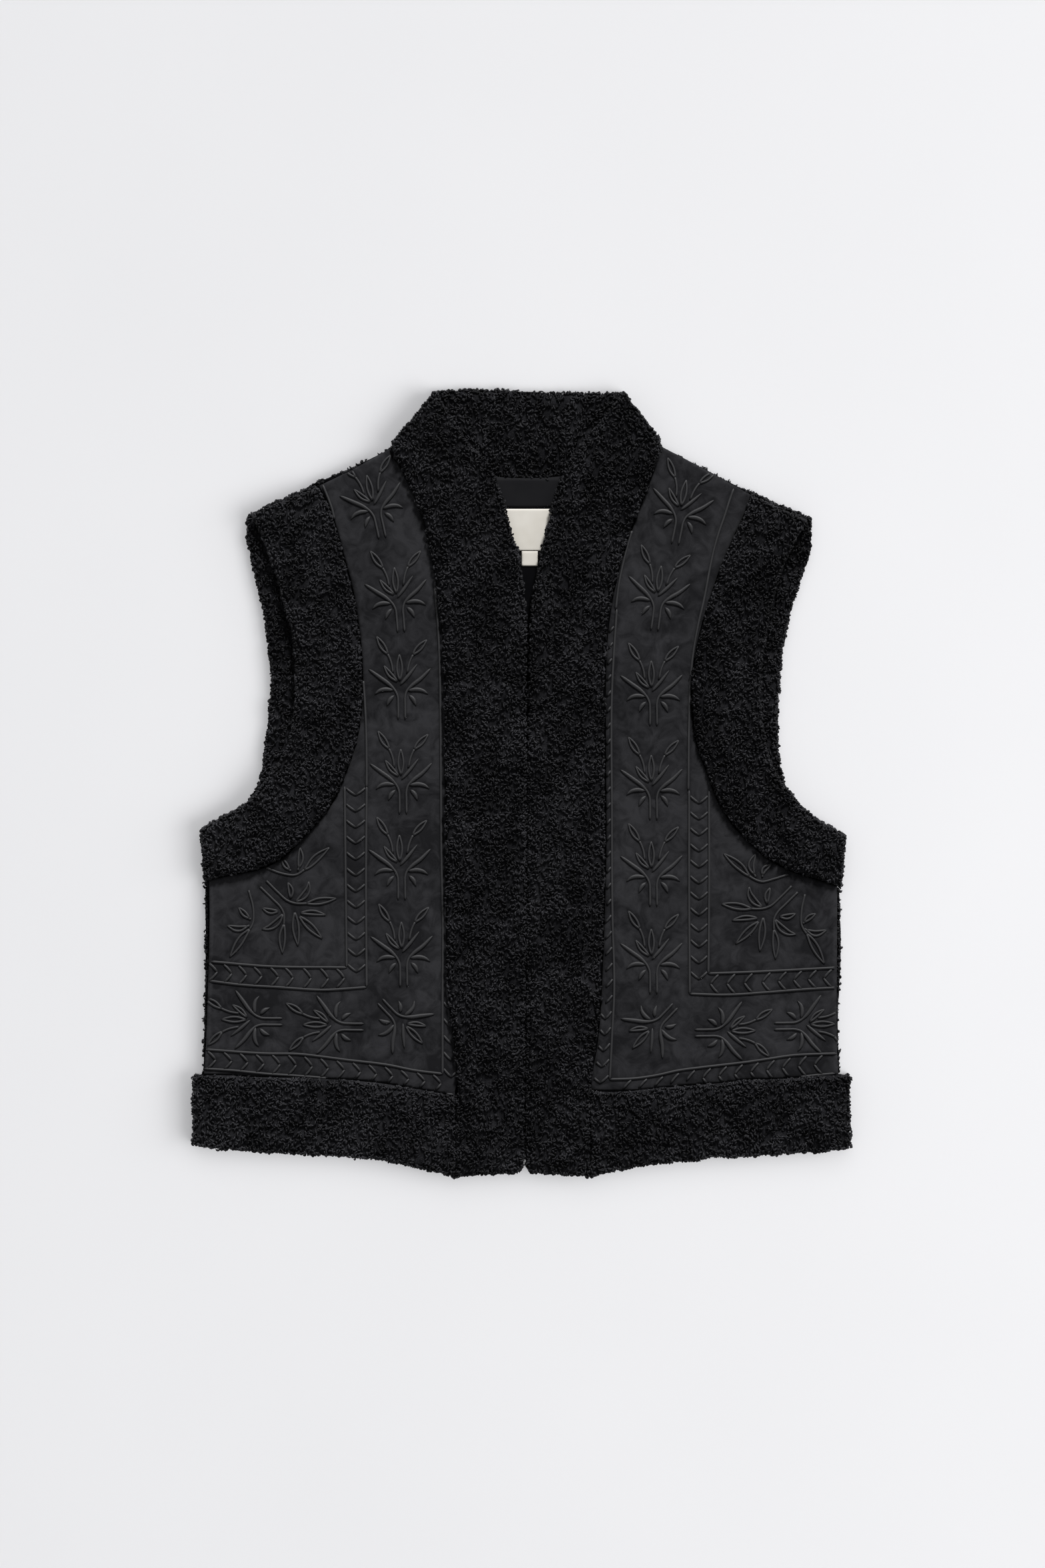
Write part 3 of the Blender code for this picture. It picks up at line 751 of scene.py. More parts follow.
@dataclass(frozen=True)
class Limb:
    """A stem or leaf in satin stitch: its places on the sheet, and the shape of its leaf."""

    points: tuple
    start: float = 0.0
    swell: float = 0.6
    hollow: bool = False
    foot: float = 0.94
    reach: float = 2.0

    def lines(self, place: "Placing") -> list:
        """Its stitched lines.

        A smooth line runs through the points. Its leaf begins at the share start of its
        length. The half width of a solid leaf is foot + swell * sin(pi u^0.8) and falls to
        0.25 of that at the tip. A hollow leaf has two edges that stand off by reach *
        sin(pi u^0.9) * (length / 20 mm)^0.5, with u from 0 to 1 along the leaf. Their half
        width is 0.96 mm - 0.4 mm * u^6.

        Args:
            place: where the ornament is put.

        Returns:
            One filled line, or a stem and two edges.
        """
        path = place.put(np.array(self.points, dtype=float))
        length = travelled(path)
        size = length[-1]
        if not self.hollow:
            t = np.linspace(0, 1, max(7, int(size / LEAF_STEP)))
            u = np.clip((t - self.start) / (1 - self.start), 0, 1)
            half = self.foot + self.swell * np.sin(np.pi * u**0.8)
            half *= 0.25 + 0.75 * np.clip((1 - t) * size / 2.6, 0, 1) ** 0.6
            half *= 0.45 + 0.55 * np.clip(t * size / 1.2, 0, 1)
            return [Stitch(cubic(path, length, t * size), half)]
        begin = self.start * size
        own = size - begin
        u = np.linspace(0, 1, max(8, int(own / EDGE_STEP)))
        spine = cubic(path, length, begin + u * own)
        along = np.gradient(spine, axis=0)
        across = unit(np.column_stack([-along[:, 1], along[:, 0]]))
        reach = self.reach * (own / 20) ** 0.5 * np.sin(np.pi * u**0.9)
        lines = [Stitch(spine + sign * reach[:, None] * across, 0.96 - 0.4 * u**6) for sign in (-1, 1)]
        if self.start > 0.05:
            t = np.linspace(0, begin + 0.4, max(4, int(begin / STEM_STEP)))
            lines.append(Stitch(cubic(path, length, t), np.full(len(t), STEM)))
        return lines


@dataclass(frozen=True)
class Placing:
    """Where an ornament lies: its fork, its turn in degrees, its size, and if it is mirrored."""

    fork: tuple
    turn: float = 0.0
    size: float = 1.0
    mirrored: bool = False

    def put(self, points: np.ndarray) -> np.ndarray:
        """Turn an ornament's own points, in half millimetres, into places in millimetres."""
        x = (AXIS - points[:, 0] if self.mirrored else points[:, 0] - AXIS) * self.size
        y = points[:, 1] * self.size
        turn = np.radians(self.turn)
        spots = np.column_stack([
            self.fork[0] + AXIS + x * np.cos(turn) - y * np.sin(turn),
            self.fork[1] + x * np.sin(turn) + y * np.cos(turn),
        ])
        return on_vest(spots)


AXIS = 2.7
ARMS = (
    ((-2.5, 51), (-2.6, 30), (-3.6, 16), (-7, 8.4), (-14, 0.4), (-30, -11.6), (-47, -24)),
    ((8, 51), (7.8, 30), (8, 16), (10.4, 8.4), (17, 1.2), (31, -9.8), (46, -25)),
)
DROOPING = (
    ((-10, 7.6), (-23, 6.2), (-31, 8.2), (-38, 14)),
    ((12.4, 8), (26, 6.4), (35, 8.4), (42.5, 13.4)),
)
LOWER = (((-8.8, 15.6), (-15, 21.5), (-19.5, 31)), ((13.8, 15), (20.5, 21.5), (24.5, 31)))
INNER = (((-4.5, -6), (-15, -16), (-24, -29)), ((0.5, -0.6), (13, -15), (26, -31.6)))
CENTRE = ((-0.2, -8), (-0.6, -26), (-0.8, -46))
LONG = (
    ((-10.5, -19), (-12.5, -32), (-17.5, -45), (-26, -58), (-35, -73)),
    ((11, -19), (14, -33), (20, -46), (30, -57), (40.4, -68)),
)


class Style(Enum):
    """Which leaves a sprig has."""

    TALL = "solid and hollow leaves, with two long hollow ones"
    SHORT = "solid and hollow leaves"
    OPEN = "hollow leaves only"


@dataclass(frozen=True)
class Sprig(Placing):
    """A sprig of up to eleven leaves on two stems, the vest's repeated ornament."""

    style: Style = Style.TALL

    def limbs(self) -> list:
        """Its stems and leaves."""
        hollow = self.style is Style.OPEN
        made = [Limb(arm, 0.62 if hollow else 0.5, 0.72, hollow) for arm in ARMS]
        made += [Limb(leaf, 0.0, 1.15, hollow, 0.6) for leaf in (*DROOPING, *LOWER)]
        made += [Limb(INNER[0], 0.0, 0.6, True, reach=1.5), Limb(INNER[1], 0.0, 0.85, hollow, 0.6),
                 Limb(CENTRE, 0.0, 0.6, True)]
        if self.style is Style.TALL:
            made += [Limb(stem, 0.48, 0.6, True) for stem in LONG]
        return made

    def lines(self) -> list:
        """Its stitched lines."""
        return [line for limb in self.limbs() for line in limb.lines(self)]


@dataclass(frozen=True)
class Twig:
    """A single stem with hollow leaves, given by places on the layout sheet."""

    stem: tuple
    leaves: tuple
    start: float = 0.55

    def lines(self) -> list:
        """Its stitched lines: a stem that ends in a leaf, and leaves beside it."""
        here = Placing((-AXIS, 0.0))
        shift = np.array([AXIS, 0.0])
        made = Limb(tuple(map(tuple, np.array(self.stem) + shift)), self.start, 0.6, True).lines(here)
        for leaf in self.leaves:
            made += Limb(tuple(map(tuple, np.array(leaf) + shift)), 0.12, 0.6, True).lines(here)
        return made


@dataclass(frozen=True)
class Chevrons:
    """A strip of arrowheads between two lines."""

    first: tuple
    second: tuple
    tips: tuple
    upright: bool
    reach: float = 10.5
    inset: float = 2.0
    edges: tuple = (True, True)

    def lines(self) -> list:
        """Its edge lines and its arrowheads; reach is how far the arms run back from a tip."""
        lines = zip((self.first, self.second), self.edges)
        made = [drawn(line, BORDER) for line, shown in lines if shown]
        axis, other = (1, 0) if self.upright else (0, 1)
        back, aside = self.reach * np.array([1, 0.42, 0.15, 0]), (0, 0.5, 0.82, 1)
        for tip in self.tips:
            sides = []
            for line, inset in ((self.first, self.inset), (self.second, -self.inset)):
                run = np.array(line, dtype=float)
                run = run[np.argsort(run[:, axis])]
                sides.append(np.interp(tip, run[:, axis], run[:, other]) + inset)
            middle = sum(sides) / 2
            for side in sides:
                run = [(tip - step, side + (middle - side) * share) for step, share in zip(back, aside)]
                made.append(drawn([(b, a) if self.upright else (a, b) for a, b in run], ARM, 0.75))
        return made


@dataclass
class Embroidery:
    """All the stitching of one front panel."""

    side: Side
    panel: ClothPiece
    sprigs: tuple
    sprays: tuple
    strips: tuple
    vines: tuple

    TURN = np.radians([-20, 32, 62, 90, 118, 148, 200])  # where a ring's points stand

    def stitches(self) -> list:
        """Collect the stitched lines, cut where they leave the panel."""
        made = [line for item in (*self.sprigs, *self.sprays, *self.strips) for line in item.lines()]
        made += [drawn(vine, BORDER) for vine in self.vines]
        kept = []
        for stitch in made:
            shown = inside(self.panel.rim, stitch.points * MM)
            if shown.all():
                kept.append(stitch)
                continue
            for run in np.split(np.arange(len(shown)), np.flatnonzero(np.diff(shown.astype(int))) + 1):
                if shown[run[0]] and len(run) > 2:
                    kept.append(Stitch(stitch.points[run], stitch.half[run]))
        return kept

    def build(self, stitches: list, finish: bpy.types.Material) -> bpy.types.Object:
        """Make the raised stitching.

        Each line is a closed tube of seven-sided rings, half sunk in the cloth. A ring is
        as wide as the line, and 0.35 mm plus 0.58 of its half width high.

        Args:
            stitches: the lines.
            finish: the thread's material.

        Returns:
            The piece.
        """
        points, quads, ends, along = [], [], [], []
        total = 0
        each = len(self.TURN)
        for stitch in stitches:
            plan = stitch.points
            slope = np.gradient(plan, axis=0)
            slope /= np.linalg.norm(slope, axis=1)[:, None] + 1e-9
            across = np.column_stack([-slope[:, 1], slope[:, 0]])
            level = self.panel.height(plan * MM) / MM
            rise = 0.35 + 0.58 * stitch.half
            ring = np.empty((len(plan), each, 3))
            aside = np.cos(self.TURN) * stitch.half[:, None]
            ring[:, :, :2] = plan[:, None] + across[:, None] * aside[:, :, None]
            ring[:, :, 2] = (level - 0.12)[:, None] + np.sin(self.TURN) * rise[:, None]
            points.append(ring.reshape(-1, 3))
            along.append(np.repeat(travelled(plan), each))
            row, column = np.meshgrid(np.arange(len(plan) - 1) * each, np.arange(each), indexing="ij")
            after = (column + 1) % each
            quad = np.stack([row + column, row + after, row + each + after, row + each + column], 2)
            quads.append(quad.reshape(-1, 4)[:, ::-1] + total)
            last = (len(plan) - 1) * each
            ends.append(np.array([np.arange(each), (np.arange(each) + last)[::-1]]) + total)
            total += len(plan) * each
        faces = [np.concatenate(quads), np.concatenate(ends)]
        piece = make_mesh("embroidery_" + self.side.value, np.concatenate(points) * MM, faces, finish)
        uv = piece.data.uv_layers.new(name="along")
        distance = np.concatenate(along)[values_of(piece.data.loops, "vertex_index", np.int32)] * MM
        places = np.column_stack([distance, np.zeros(len(distance))])
        uv.data.foreach_set("uv", places.astype(np.float32).ravel())
        return settle(piece, "suede")


@dataclass
class Pile:
    """Curly pile on a CAD node: a lumpy ground with short bent curls on it.

    The ground is remeshed in cells of voxel. Shade lightens the curls, and flush gives the
    upright sides a clean edge.
    """

    node: str
    voxel: float = 3.5
    beside: tuple = ()
    shade: float = 0.0
    flush: bool = False

    CLUMPS = ((7.0, 0.85, 21), (16.0, 0.4, 22), (3.5, 0.25, 23))  # cell, height, seed
    COVER = 5.2  # square millimetres for each curl
    CURL_RADIUS = 0.84
    RINGS = 3
    TILT = 0.22  # how far the curls' planes are tipped
    SWEEP = (1.3, 3.9)  # how far a curl bends, in radians
    LENGTH = (3.2, 6.2)
    ARCH = (0.7, 1.6)  # how high its middle stands above its ends
    DIVE = 1.35  # how deep its ends lie
    SWELL = (0.88, 1.05, 0.88)  # its thickness at the three rings
    TUCK = 3.0  # how far curls go on below the edge of cloth that lies on them
    FACE = 6.5  # how far down from the top the upright faces of a seam grow curls
    SINK = 1.5  # how far the ground's top is below the node's
    ROUND = 5.0  # how wide the node's edges are rounded at a seam
    SIDE_IN = 0.4
    FLUSH_IN = 0.6
    SIDE_SINK = 0.9  # how far curls on upright sides are sunk, which also darkens their tint as painted shade
    FLUSH_SINK = 1.6
    SIDE_MORE = 1.7  # how much denser curls are on the sides
    UPRIGHT = 0.35  # a face is upright when its normal rises less than this
    SEAM = 3.0  # how far from a seam an edge follows its neighbour
    THIN = 1.0  # how much thinner the pile is at suede
    THIN_WIDTH = 4.0
    CLOTH = 2.0  # how thick the cloth below the pile is
    OPENING = 80.0  # below this y the two front bands begin to join
    OPENING_RUN = 60.0
    PARTED = 1.5  # how much further apart they are above it
    NOTCH_X = 2.4  # where the front bands meet
    NOTCH_TOP = -287.5
    NOTCH_DEPTH = 8.5
    NOTCH_HALF = 5.6

    @staticmethod
    def clump(spots: np.ndarray) -> np.ndarray:
        """Height of the pile's clumps at places in metres: a sum of noises."""
        return sum(value_noise(spots / MM, cell, seed) * amount for cell, amount, seed in Pile.CLUMPS)

    def notched(self, spots: np.ndarray) -> np.ndarray:
        """Keep a front band out of the notch where the two meet at the hem.

        The notch's half width is 5.6 mm * clip((-287.5 - y) / 8.5, 0, 1).

        Args:
            spots: places, (n, 3), in metres.

        Returns:
            The places, moved sideways where they were in the notch.
        """
        half = self.NOTCH_HALF * np.clip((self.NOTCH_TOP - spots[:, 1] / MM) / self.NOTCH_DEPTH, 0, 1)
        moved = spots.copy()
        if self.node in ("front_band_l", "front_band_r"):
            sign, keep = (-1, np.minimum) if self.node == "front_band_l" else (1, np.maximum)
            edge = (self.NOTCH_X + sign * half) * MM
            moved[:, 0] = np.where(half > 0, keep(spots[:, 0], edge), spots[:, 0])
        return moved

    def seam(self, spots: np.ndarray) -> tuple:
        """How far the pile is lifted where it grows into a neighbour, and where that is.

        The frame's top falls towards a seam by drop * (1 - (1 - (1 - d / 5 mm)^2)^0.5) at the
        distance d. The lift takes that away, by the share of the height above the cloth. Beside
        suede the pile gets thinner instead, by 1 mm * (1 - d / 4 mm). The front bands' own seam
        opens by clip((80 - y) / 60, 0, 1) towards the neck.

        Args:
            spots: places, (n, 3), in metres.

        Returns:
            Lifts in metres, the distances from the seams in metres, and how far the pile
            there reaches over the seam in millimetres.
        """
        lift, closest, lap = np.zeros(len(spots)), np.full(len(spots), 1.0), np.zeros(len(spots))
        share = np.clip((spots[:, 2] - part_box(self.node)[0][2] - self.CLOTH * MM) / (3 * MM), 0, 1)
        for node, drop, reach in self.beside:
            gap = nearest(spots[:, :2], Outline.of(node).smooth(OUTLINE_STEP))
            near = np.clip(1 - gap / (self.ROUND * MM), 0, 1)
            joined = np.ones(len(spots))
            if node.startswith("front_band") and self.node.startswith("front_band"):
                joined = np.clip((self.OPENING - spots[:, 1] / MM) / self.OPENING_RUN, 0, 1)
            lift = np.maximum(lift, drop * MM * (1 - np.sqrt(1 - near**2)) * joined)
            lap = np.where(gap < closest, reach - self.PARTED * (1 - joined), lap)
            closest = np.minimum(closest, gap)
        thin = self.THIN * MM * np.clip(1 - closest / (self.THIN_WIDTH * MM), 0, 1)
        lift = lift - thin * ((lap < 0.5) & (lift == 0))
        return lift * share, closest, lap

    def ground(self, finish: bpy.types.Material) -> bpy.types.Object:
        """Make the cloth below the curls.

        A copy of the node is remeshed in even cells. Its top moves down by 1.5 mm and its
        sides move in by 0.4 mm, plus the clumps. Flush sides move out to 0.6 mm inside the
        node's outline, which makes their edge smooth. The underside lies 0.05 to 1.5 mm up.

        Args:
            finish: the pile's material.

        Returns:
            The piece.
        """
        points, triangles, _ = cad_mesh(self.node)
        rough = make_mesh(self.node + "_rough", points, [triangles], finish)
        change = rough.modifiers.new("cells", "REMESH")
        change.mode = "VOXEL"
        change.voxel_size = self.voxel * MM
        even = bpy.data.meshes.new_from_object(rough.evaluated_get(bpy.context.evaluated_depsgraph_get()))
        spots = values_of(even.vertices, "co", np.float32, 3).astype(float)
        normal = values_of(even.vertices, "normal", np.float32, 3)
        sizes = values_of(even.polygons, "loop_total", np.int32)
        faces = split_faces(values_of(even.loops, "vertex_index", np.int32), sizes)
        lump = self.clump(spots)
        upward = np.clip(normal[:, 2], 0, 1)
        side = np.linalg.norm(normal[:, :2], axis=1)
        lift, gap, lap = self.seam(spots)
        spots[:, 2] += upward * (lump - self.SINK) * MM + lift
        grow = np.where(gap < self.SEAM * MM, lap, lump * 0.5 - self.SIDE_IN)
        spots[:, :2] += normal[:, :2] * (side * grow * MM)[:, None]
        if self.flush:
            short = nearest(spots[:, :2], Outline.of(self.node).smooth(OUTLINE_STEP)) / MM
            push = (short - self.FLUSH_IN + lump * 0.2) * np.clip((side - self.UPRIGHT) / 0.3, 0, 1)
            push *= (gap > self.SEAM * MM) & (short < 6)
            spots[:, :2] += normal[:, :2] * (push * MM / np.maximum(side, self.UPRIGHT))[:, None]
        spots = self.notched(spots)
        floor = points[:, 2].min()
        under = normal[:, 2] < -0.5
        spots[under, 2] = floor + np.clip(0.6 + lump[under], 0.05, 1.5) * MM
        spots[:, 2] = np.maximum(spots[:, 2], floor + FOOTING)
        bpy.data.objects.remove(rough)
        bpy.data.meshes.remove(even)
        piece = make_mesh(self.node + "_ground", spots, faces, finish)
        keep_number(piece, "tint", np.full(len(spots), 0.3 + self.shade))
        return settle(piece, "pile", self.node)

    def seeds(self, covers: list) -> tuple:
        """Spread the curls' places over the node.

        A triangle gets curls by its area over 5.2 mm^2, sides 1.7 times as many, and each place
        is at random weights of its corners.

        Args:
            covers: outlines of the cloth that lies on the node.

        Returns:
            Places and normals, (n, 3).
        """
        points, triangles, normals = cad_mesh(self.node)
        seen = normals[:, 2] > -0.3
        corners, facing = points[triangles[seen]], normals[seen]
        first, second, third = corners.transpose(1, 0, 2)
        size = np.linalg.norm(np.cross(second - first, third - first), axis=1) / 2
        size = np.where(np.abs(facing[:, 2]) < 0.6, size * self.SIDE_MORE, size)
        chance = np.random.default_rng(sum(map(ord, self.node)))
        count = int(size.sum() / (self.COVER * MM * MM))
        bound = np.cumsum(size) / size.sum()
        pick = np.searchsorted(bound, (np.arange(count) + chance.uniform(0, 1, count)) / count)
        pick = np.minimum(pick, len(size) - 1)
        one, two = chance.uniform(0, 1, count), chance.uniform(0, 1, count)
        fold = one + two > 1
        one[fold], two[fold] = 1 - one[fold], 1 - two[fold]
        first, second, third = corners[pick].transpose(1, 0, 2)
        spots = first + one[:, None] * (second - first) + two[:, None] * (third - first)
        lift, gap, lap = self.seam(spots)
        deep = (spots[:, 2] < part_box(self.node)[1][2] - self.FACE * MM) | (lap < 0)
        hidden = (gap < 1.5 * MM) & (facing[pick][:, 2] < 0.2) & deep
        hidden |= (lap < 0) & (gap < (-lap - 0.2 + value_noise(spots / MM, 6.0, 25)) * MM)
        hidden |= np.abs(self.notched(spots) - spots)[:, 0] > 0
        spots[:, 2] += lift
        normal = unit(facing[pick] + np.array([0, 0, 1.0]) * (lift > 0.2 * MM)[:, None] * 2)
        for rim in covers:
            rest = np.flatnonzero(~hidden)
            within = rest[inside(rim, spots[rest, :2])]
            if len(within):
                hidden[within[nearest(spots[within, :2], rim) > self.TUCK * MM]] = True
        return spots[~hidden], normal[~hidden]

    def curls(self, covers: list, finish: bpy.types.Material) -> bpy.types.Object:
        """Make the curls.

        A curl is an arc in the plane of the cloth, 3 to 6 mm long and bent by 75 to 225
        degrees, arched by sin(pi s)^0.7 so that its ends dive in. Round it are three rings of
        three points, closed by a point at each end. It stands on the pile's clumps, and its tint
        is lighter the higher it stands: painted light and shade.

        Args:
            covers: outlines of the cloth that lies on the node.
            finish: the pile's material.

        Returns:
            The piece.
        """
        seeds, facing = self.seeds(covers)
        count = len(seeds)
        chance = np.random.default_rng(len(self.node) * 101 + count)
        normal = unit(facing + chance.normal(0, self.TILT, (count, 3)))
        helper = np.where(np.abs(normal[:, 2:3]) > 0.8, [[1.0, 0, 0]], [[0, 0, 1.0]])
        east = unit(np.cross(helper, normal))
        north = np.cross(normal, east)
        s = np.linspace(0, 1, self.RINGS + 2)
        sweep = chance.uniform(*self.SWEEP, count) * chance.choice([-1, 1], count)
        radius = chance.uniform(*self.LENGTH, count) / np.abs(sweep)
        start = chance.uniform(0, 2 * np.pi, count)
        angle = start[:, None] + sweep[:, None] * (s - 0.5)
        sink = self.FLUSH_SINK if self.flush else self.SIDE_SINK
        clump = self.clump(seeds) - np.where(np.abs(facing[:, 2]) < self.UPRIGHT, sink, 0.0)
        arch = chance.uniform(*self.ARCH, count)
        base = (clump + chance.normal(0, 0.3, count))[:, None]
        lift = arch[:, None] * np.sin(np.pi * s) ** 0.7 - self.DIVE + base
        shift = radius * np.sinc(sweep / 2 / np.pi)
        out = np.cos(angle)[:, :, None] * east[:, None] + np.sin(angle)[:, :, None] * north[:, None]
        centre_out = np.cos(start)[:, None] * east + np.sin(start)[:, None] * north
        spine = (seeds / MM)[:, None] + radius[:, None, None] * out - (shift[:, None] * centre_out)[:, None]
        spine = spine + lift[:, :, None] * normal[:, None]
        rings = spine[:, 1:-1]
        thick = self.CURL_RADIUS * chance.uniform(0.75, 1.3, count)
        turn = np.pi / 2 + np.arange(3) * 2 * np.pi / 3
        spokes = np.cos(turn)[:, None] * out[:, 1:-1, None] + np.sin(turn)[:, None] * normal[:, None, None]
        swell = np.array(self.SWELL)[None, :, None, None]
        body = rings[:, :, None] + thick[:, None, None, None] * swell * spokes
        points = np.concatenate([spine[:, :1], body.reshape(count, -1, 3), spine[:, -1:]], axis=1)
        each = points.shape[1]
        faces = []
        for a in range(1, each - 4):
            b = a - 2 if a % 3 == 0 else a + 1
            faces += [(a, b, b + 3), (a, b + 3, a + 3)]
        for k in range(3):
            after = (k + 1) % 3
            faces += [(0, 1 + after, 1 + k), (each - 1, each - 4 + k, each - 4 + after)]
        faces = np.array(faces)
        forward = faces[None] + (np.arange(count) * each)[:, None, None]
        forward[sweep > 0] = forward[sweep > 0][:, :, ::-1]
        spots = points.reshape(-1, 3)
        spots[:, 2] = np.maximum(spots[:, 2], 0.1)
        piece = make_mesh(self.node + "_curls", self.notched(spots * MM), [forward.reshape(-1, 3)], finish)
        # painted light and shade: a curl's tint rises with its height, so sunk curls and those on upright
        # sides are darker
        tint = np.clip(0.5 + 0.12 * chance.normal(0, 1, count) + 0.25 * clump, 0, 1.4) + self.shade
        keep_number(piece, "tint", np.repeat(tint, each))
        return settle(piece, "pile")


def split_faces(corners: np.ndarray, sizes: np.ndarray) -> list:
    """Sort a mesh's corners into arrays of triangles and of squares."""
    starts = np.cumsum(sizes) - sizes
    return [corners[starts[sizes == size][:, None] + np.arange(size)] for size in np.unique(sizes)]


def evenly(first: float, last: float, count: int) -> tuple:
    """Places of count chevron tips."""
    return tuple(np.linspace(first, last, count))


LEFT_STITCHING = {
    "sprigs": (
        Sprig((560.5, 757), -12), Sprig((595.6, 897), -4), Sprig((600, 1028)), Sprig((602, 1170)),
        Sprig((600, 1299)), Sprig((603, 1429.5)), Sprig((373, 1533), -90, 0.94, True),
        Sprig((495, 1541), -90, 0.94, True), Sprig((600, 1537), 137, 0.93, style=Style.SHORT),
        Sprig((437, 1371), 135, 1.24, style=Style.OPEN),
    ),
    "sprays": (
        Twig(((373, 1336), (380, 1365), (379, 1386), (363, 1408), (345, 1436)),
             (((376, 1380), (366, 1371), (358, 1362)), ((374, 1389), (357, 1394), (341, 1389)))),
        Twig(((399, 1302), (424, 1311), (443, 1313), (458, 1304), (474, 1288), (494, 1272)),
             (((436, 1307), (428, 1298), (423, 1288)), ((447, 1306), (451, 1290), (450, 1272)))),
    ),
    "strips": (
        Chevrons(((517, 1180), (518.5, 1320), (520, 1452)),
                 ((550, 1180), (549, 1320), (550, 1481.5)),
                 evenly(1193, 1458, 12), True),
        Chevrons(((317, 1443), (399, 1450), (520, 1452)),
                 ((314.5, 1472), (362, 1478), (416, 1481.5), (484, 1485.6), (550, 1481.5)),
                 (326, 348, 370, 393, 418, 440, 467, 493, 517), False, 12.0),
        Chevrons(((309, 1575), (399, 1581), (450, 1582), (484, 1586), (518, 1590.5), (586, 1599),
                  (620, 1606), (664, 1611.6)),
                 ((306.5, 1604), (348, 1606.5), (399, 1611.6), (450, 1615), (518, 1621), (600, 1631),
                  (664, 1641), (681, 1643)),
                 evenly(323.8, 662, 15), False, 12.0),
        Chevrons(((652, 880), (656.5, 930), (658.5, 965), (660, 1010), (661, 1084), (661.6, 1180),
                  (662.5, 1300), (664.5, 1380), (664, 1480), (664, 1612)),
                 ((680, 880), (684, 1016), (690, 1220), (690, 1480), (690, 1616)),
                 evenly(916, 1616, 29), True, 12.0, edges=(True, False)),
    ),
    "vines": (
        ((484, 727), (498, 764), (506, 805), (525, 885), (538, 958), (547, 1050), (550, 1152), (550, 1182)),
    ),
}
RIGHT_STITCHING = {
    "sprigs": (
        Sprig((1021, 766), 12), Sprig((986.6, 895), 8), Sprig((978, 1037.6)), Sprig((978, 1179)),
        Sprig((978, 1308.8)), Sprig((978, 1440)), Sprig((978, 1544), -137, 0.93, True, style=Style.SHORT),
        Sprig((1088, 1550), 90, 0.94), Sprig((1207, 1540), 90, 0.94),
        Sprig((1145, 1379), -135, 1.24, True, style=Style.OPEN),
    ),
    "sprays": (
        Twig(((1208, 1342), (1203, 1366), (1203, 1388), (1216, 1409), (1237, 1446)),
             (((1205, 1386), (1213, 1378), (1224, 1371)), ((1207, 1394), (1224, 1401), (1240, 1396)))),
        Twig(((1183, 1312), (1161, 1319), (1143, 1323), (1128, 1317), (1111, 1301), (1086, 1281)),
             (((1134, 1316), (1127, 1299), (1134, 1281)), ((1144, 1316), (1146, 1306), (1157, 1297)))),
    ),
    "strips": (
        Chevrons(((1034, 1186), (1034, 1340), (1035, 1491.5)),
                 ((1064, 1186), (1064, 1340), (1063, 1461)),
                 evenly(1205, 1469, 12), True),
        Chevrons(((1063, 1461), (1120, 1459), (1188, 1455.7), (1256, 1452)),
                 ((1035, 1491.4), (1086, 1493), (1154, 1489), (1205, 1485), (1256, 1482)),
                 (1066, 1091, 1117, 1144, 1168, 1191, 1213, 1236), False, -12.0),
        Chevrons(((915, 1620), (950, 1618.7), (984, 1614), (1018, 1606.5), (1052, 1602), (1086, 1598),
                  (1120, 1594), (1154, 1589), (1188, 1584), (1222, 1582), (1256, 1581)),
                 ((919, 1651), (984, 1645), (1052, 1634), (1120, 1626), (1188, 1618), (1222, 1614),
                  (1253, 1611)),
                 evenly(935, 1222, 13), False, -12.0),
        Chevrons(((901, 914), (897, 1016), (896, 1219), (898, 1480), (896, 1560), (886, 1626)),
                 ((925.5, 914), (922, 965), (919, 1016), (918, 1220), (919, 1380), (921.5, 1490),
                  (918.5, 1550), (915, 1620)),
                 evenly(951, 1625, 29), True, 11.0, edges=(False, True)),
    ),
    "vines": (
        ((1101, 733), (1096, 747), (1086, 778), (1079, 798), (1072, 822), (1066, 849), (1057, 897),
         (1047, 941), (1040, 982), (1036, 1023), (1034, 1084), (1033, 1186)),
        ((962, 750), (950, 791), (940, 825), (928, 880), (924, 914)),
    ),
}


def neighbours() -> dict:
    """Tell what lies beside each piece of pile.

    Returns:
        For each node, rows of a neighbour, how far the frame's top falls there, which the pile
        fills, and how far the pile reaches over the seam. Beside suede the fall stays and the
        pile stops short.
    """
    sewn, hem = (0.3, 0.8), (3.8, 0.8)
    found = {
        "back_body": (("armhole_band_back_l", *sewn), ("armhole_band_back_r", *sewn),
                      ("hem_band_back", *sewn), ("collar_back", 1.0, 0.8)),
        "hem_band_back": (("back_body", *sewn),),
        "collar_back": (("back_body", 1.0, 0.8), ("back_neck_facing", 0.0, 1.7)),
    }
    for own, other, short in (("l", "r", -1.9), ("r", "l", -1.3)):
        panel = "front_panel_" + own
        found["armhole_band_back_" + own] = (("back_body", *sewn),)
        found["armhole_band_front_" + own] = ((panel, 0.0, -0.6),)
        found["hem_band_front_" + own] = (("front_band_" + own, *hem), (panel, 0.0, 0.4))
        found["front_band_" + own] = (("hem_band_front_" + own, *hem), ("front_band_" + other, 1.5, 0.2),
                                      (panel, 0.0, short))
    return found


# How much lighter or darker the photograph shows a piece of pile
SHADE = {"hem_band_front_l": 0.5, "hem_band_front_r": 0.2, "front_band_r": -0.17, "collar_back": -0.25,
         "armhole_band_front_l": 0.18, "armhole_band_front_r": -0.05}


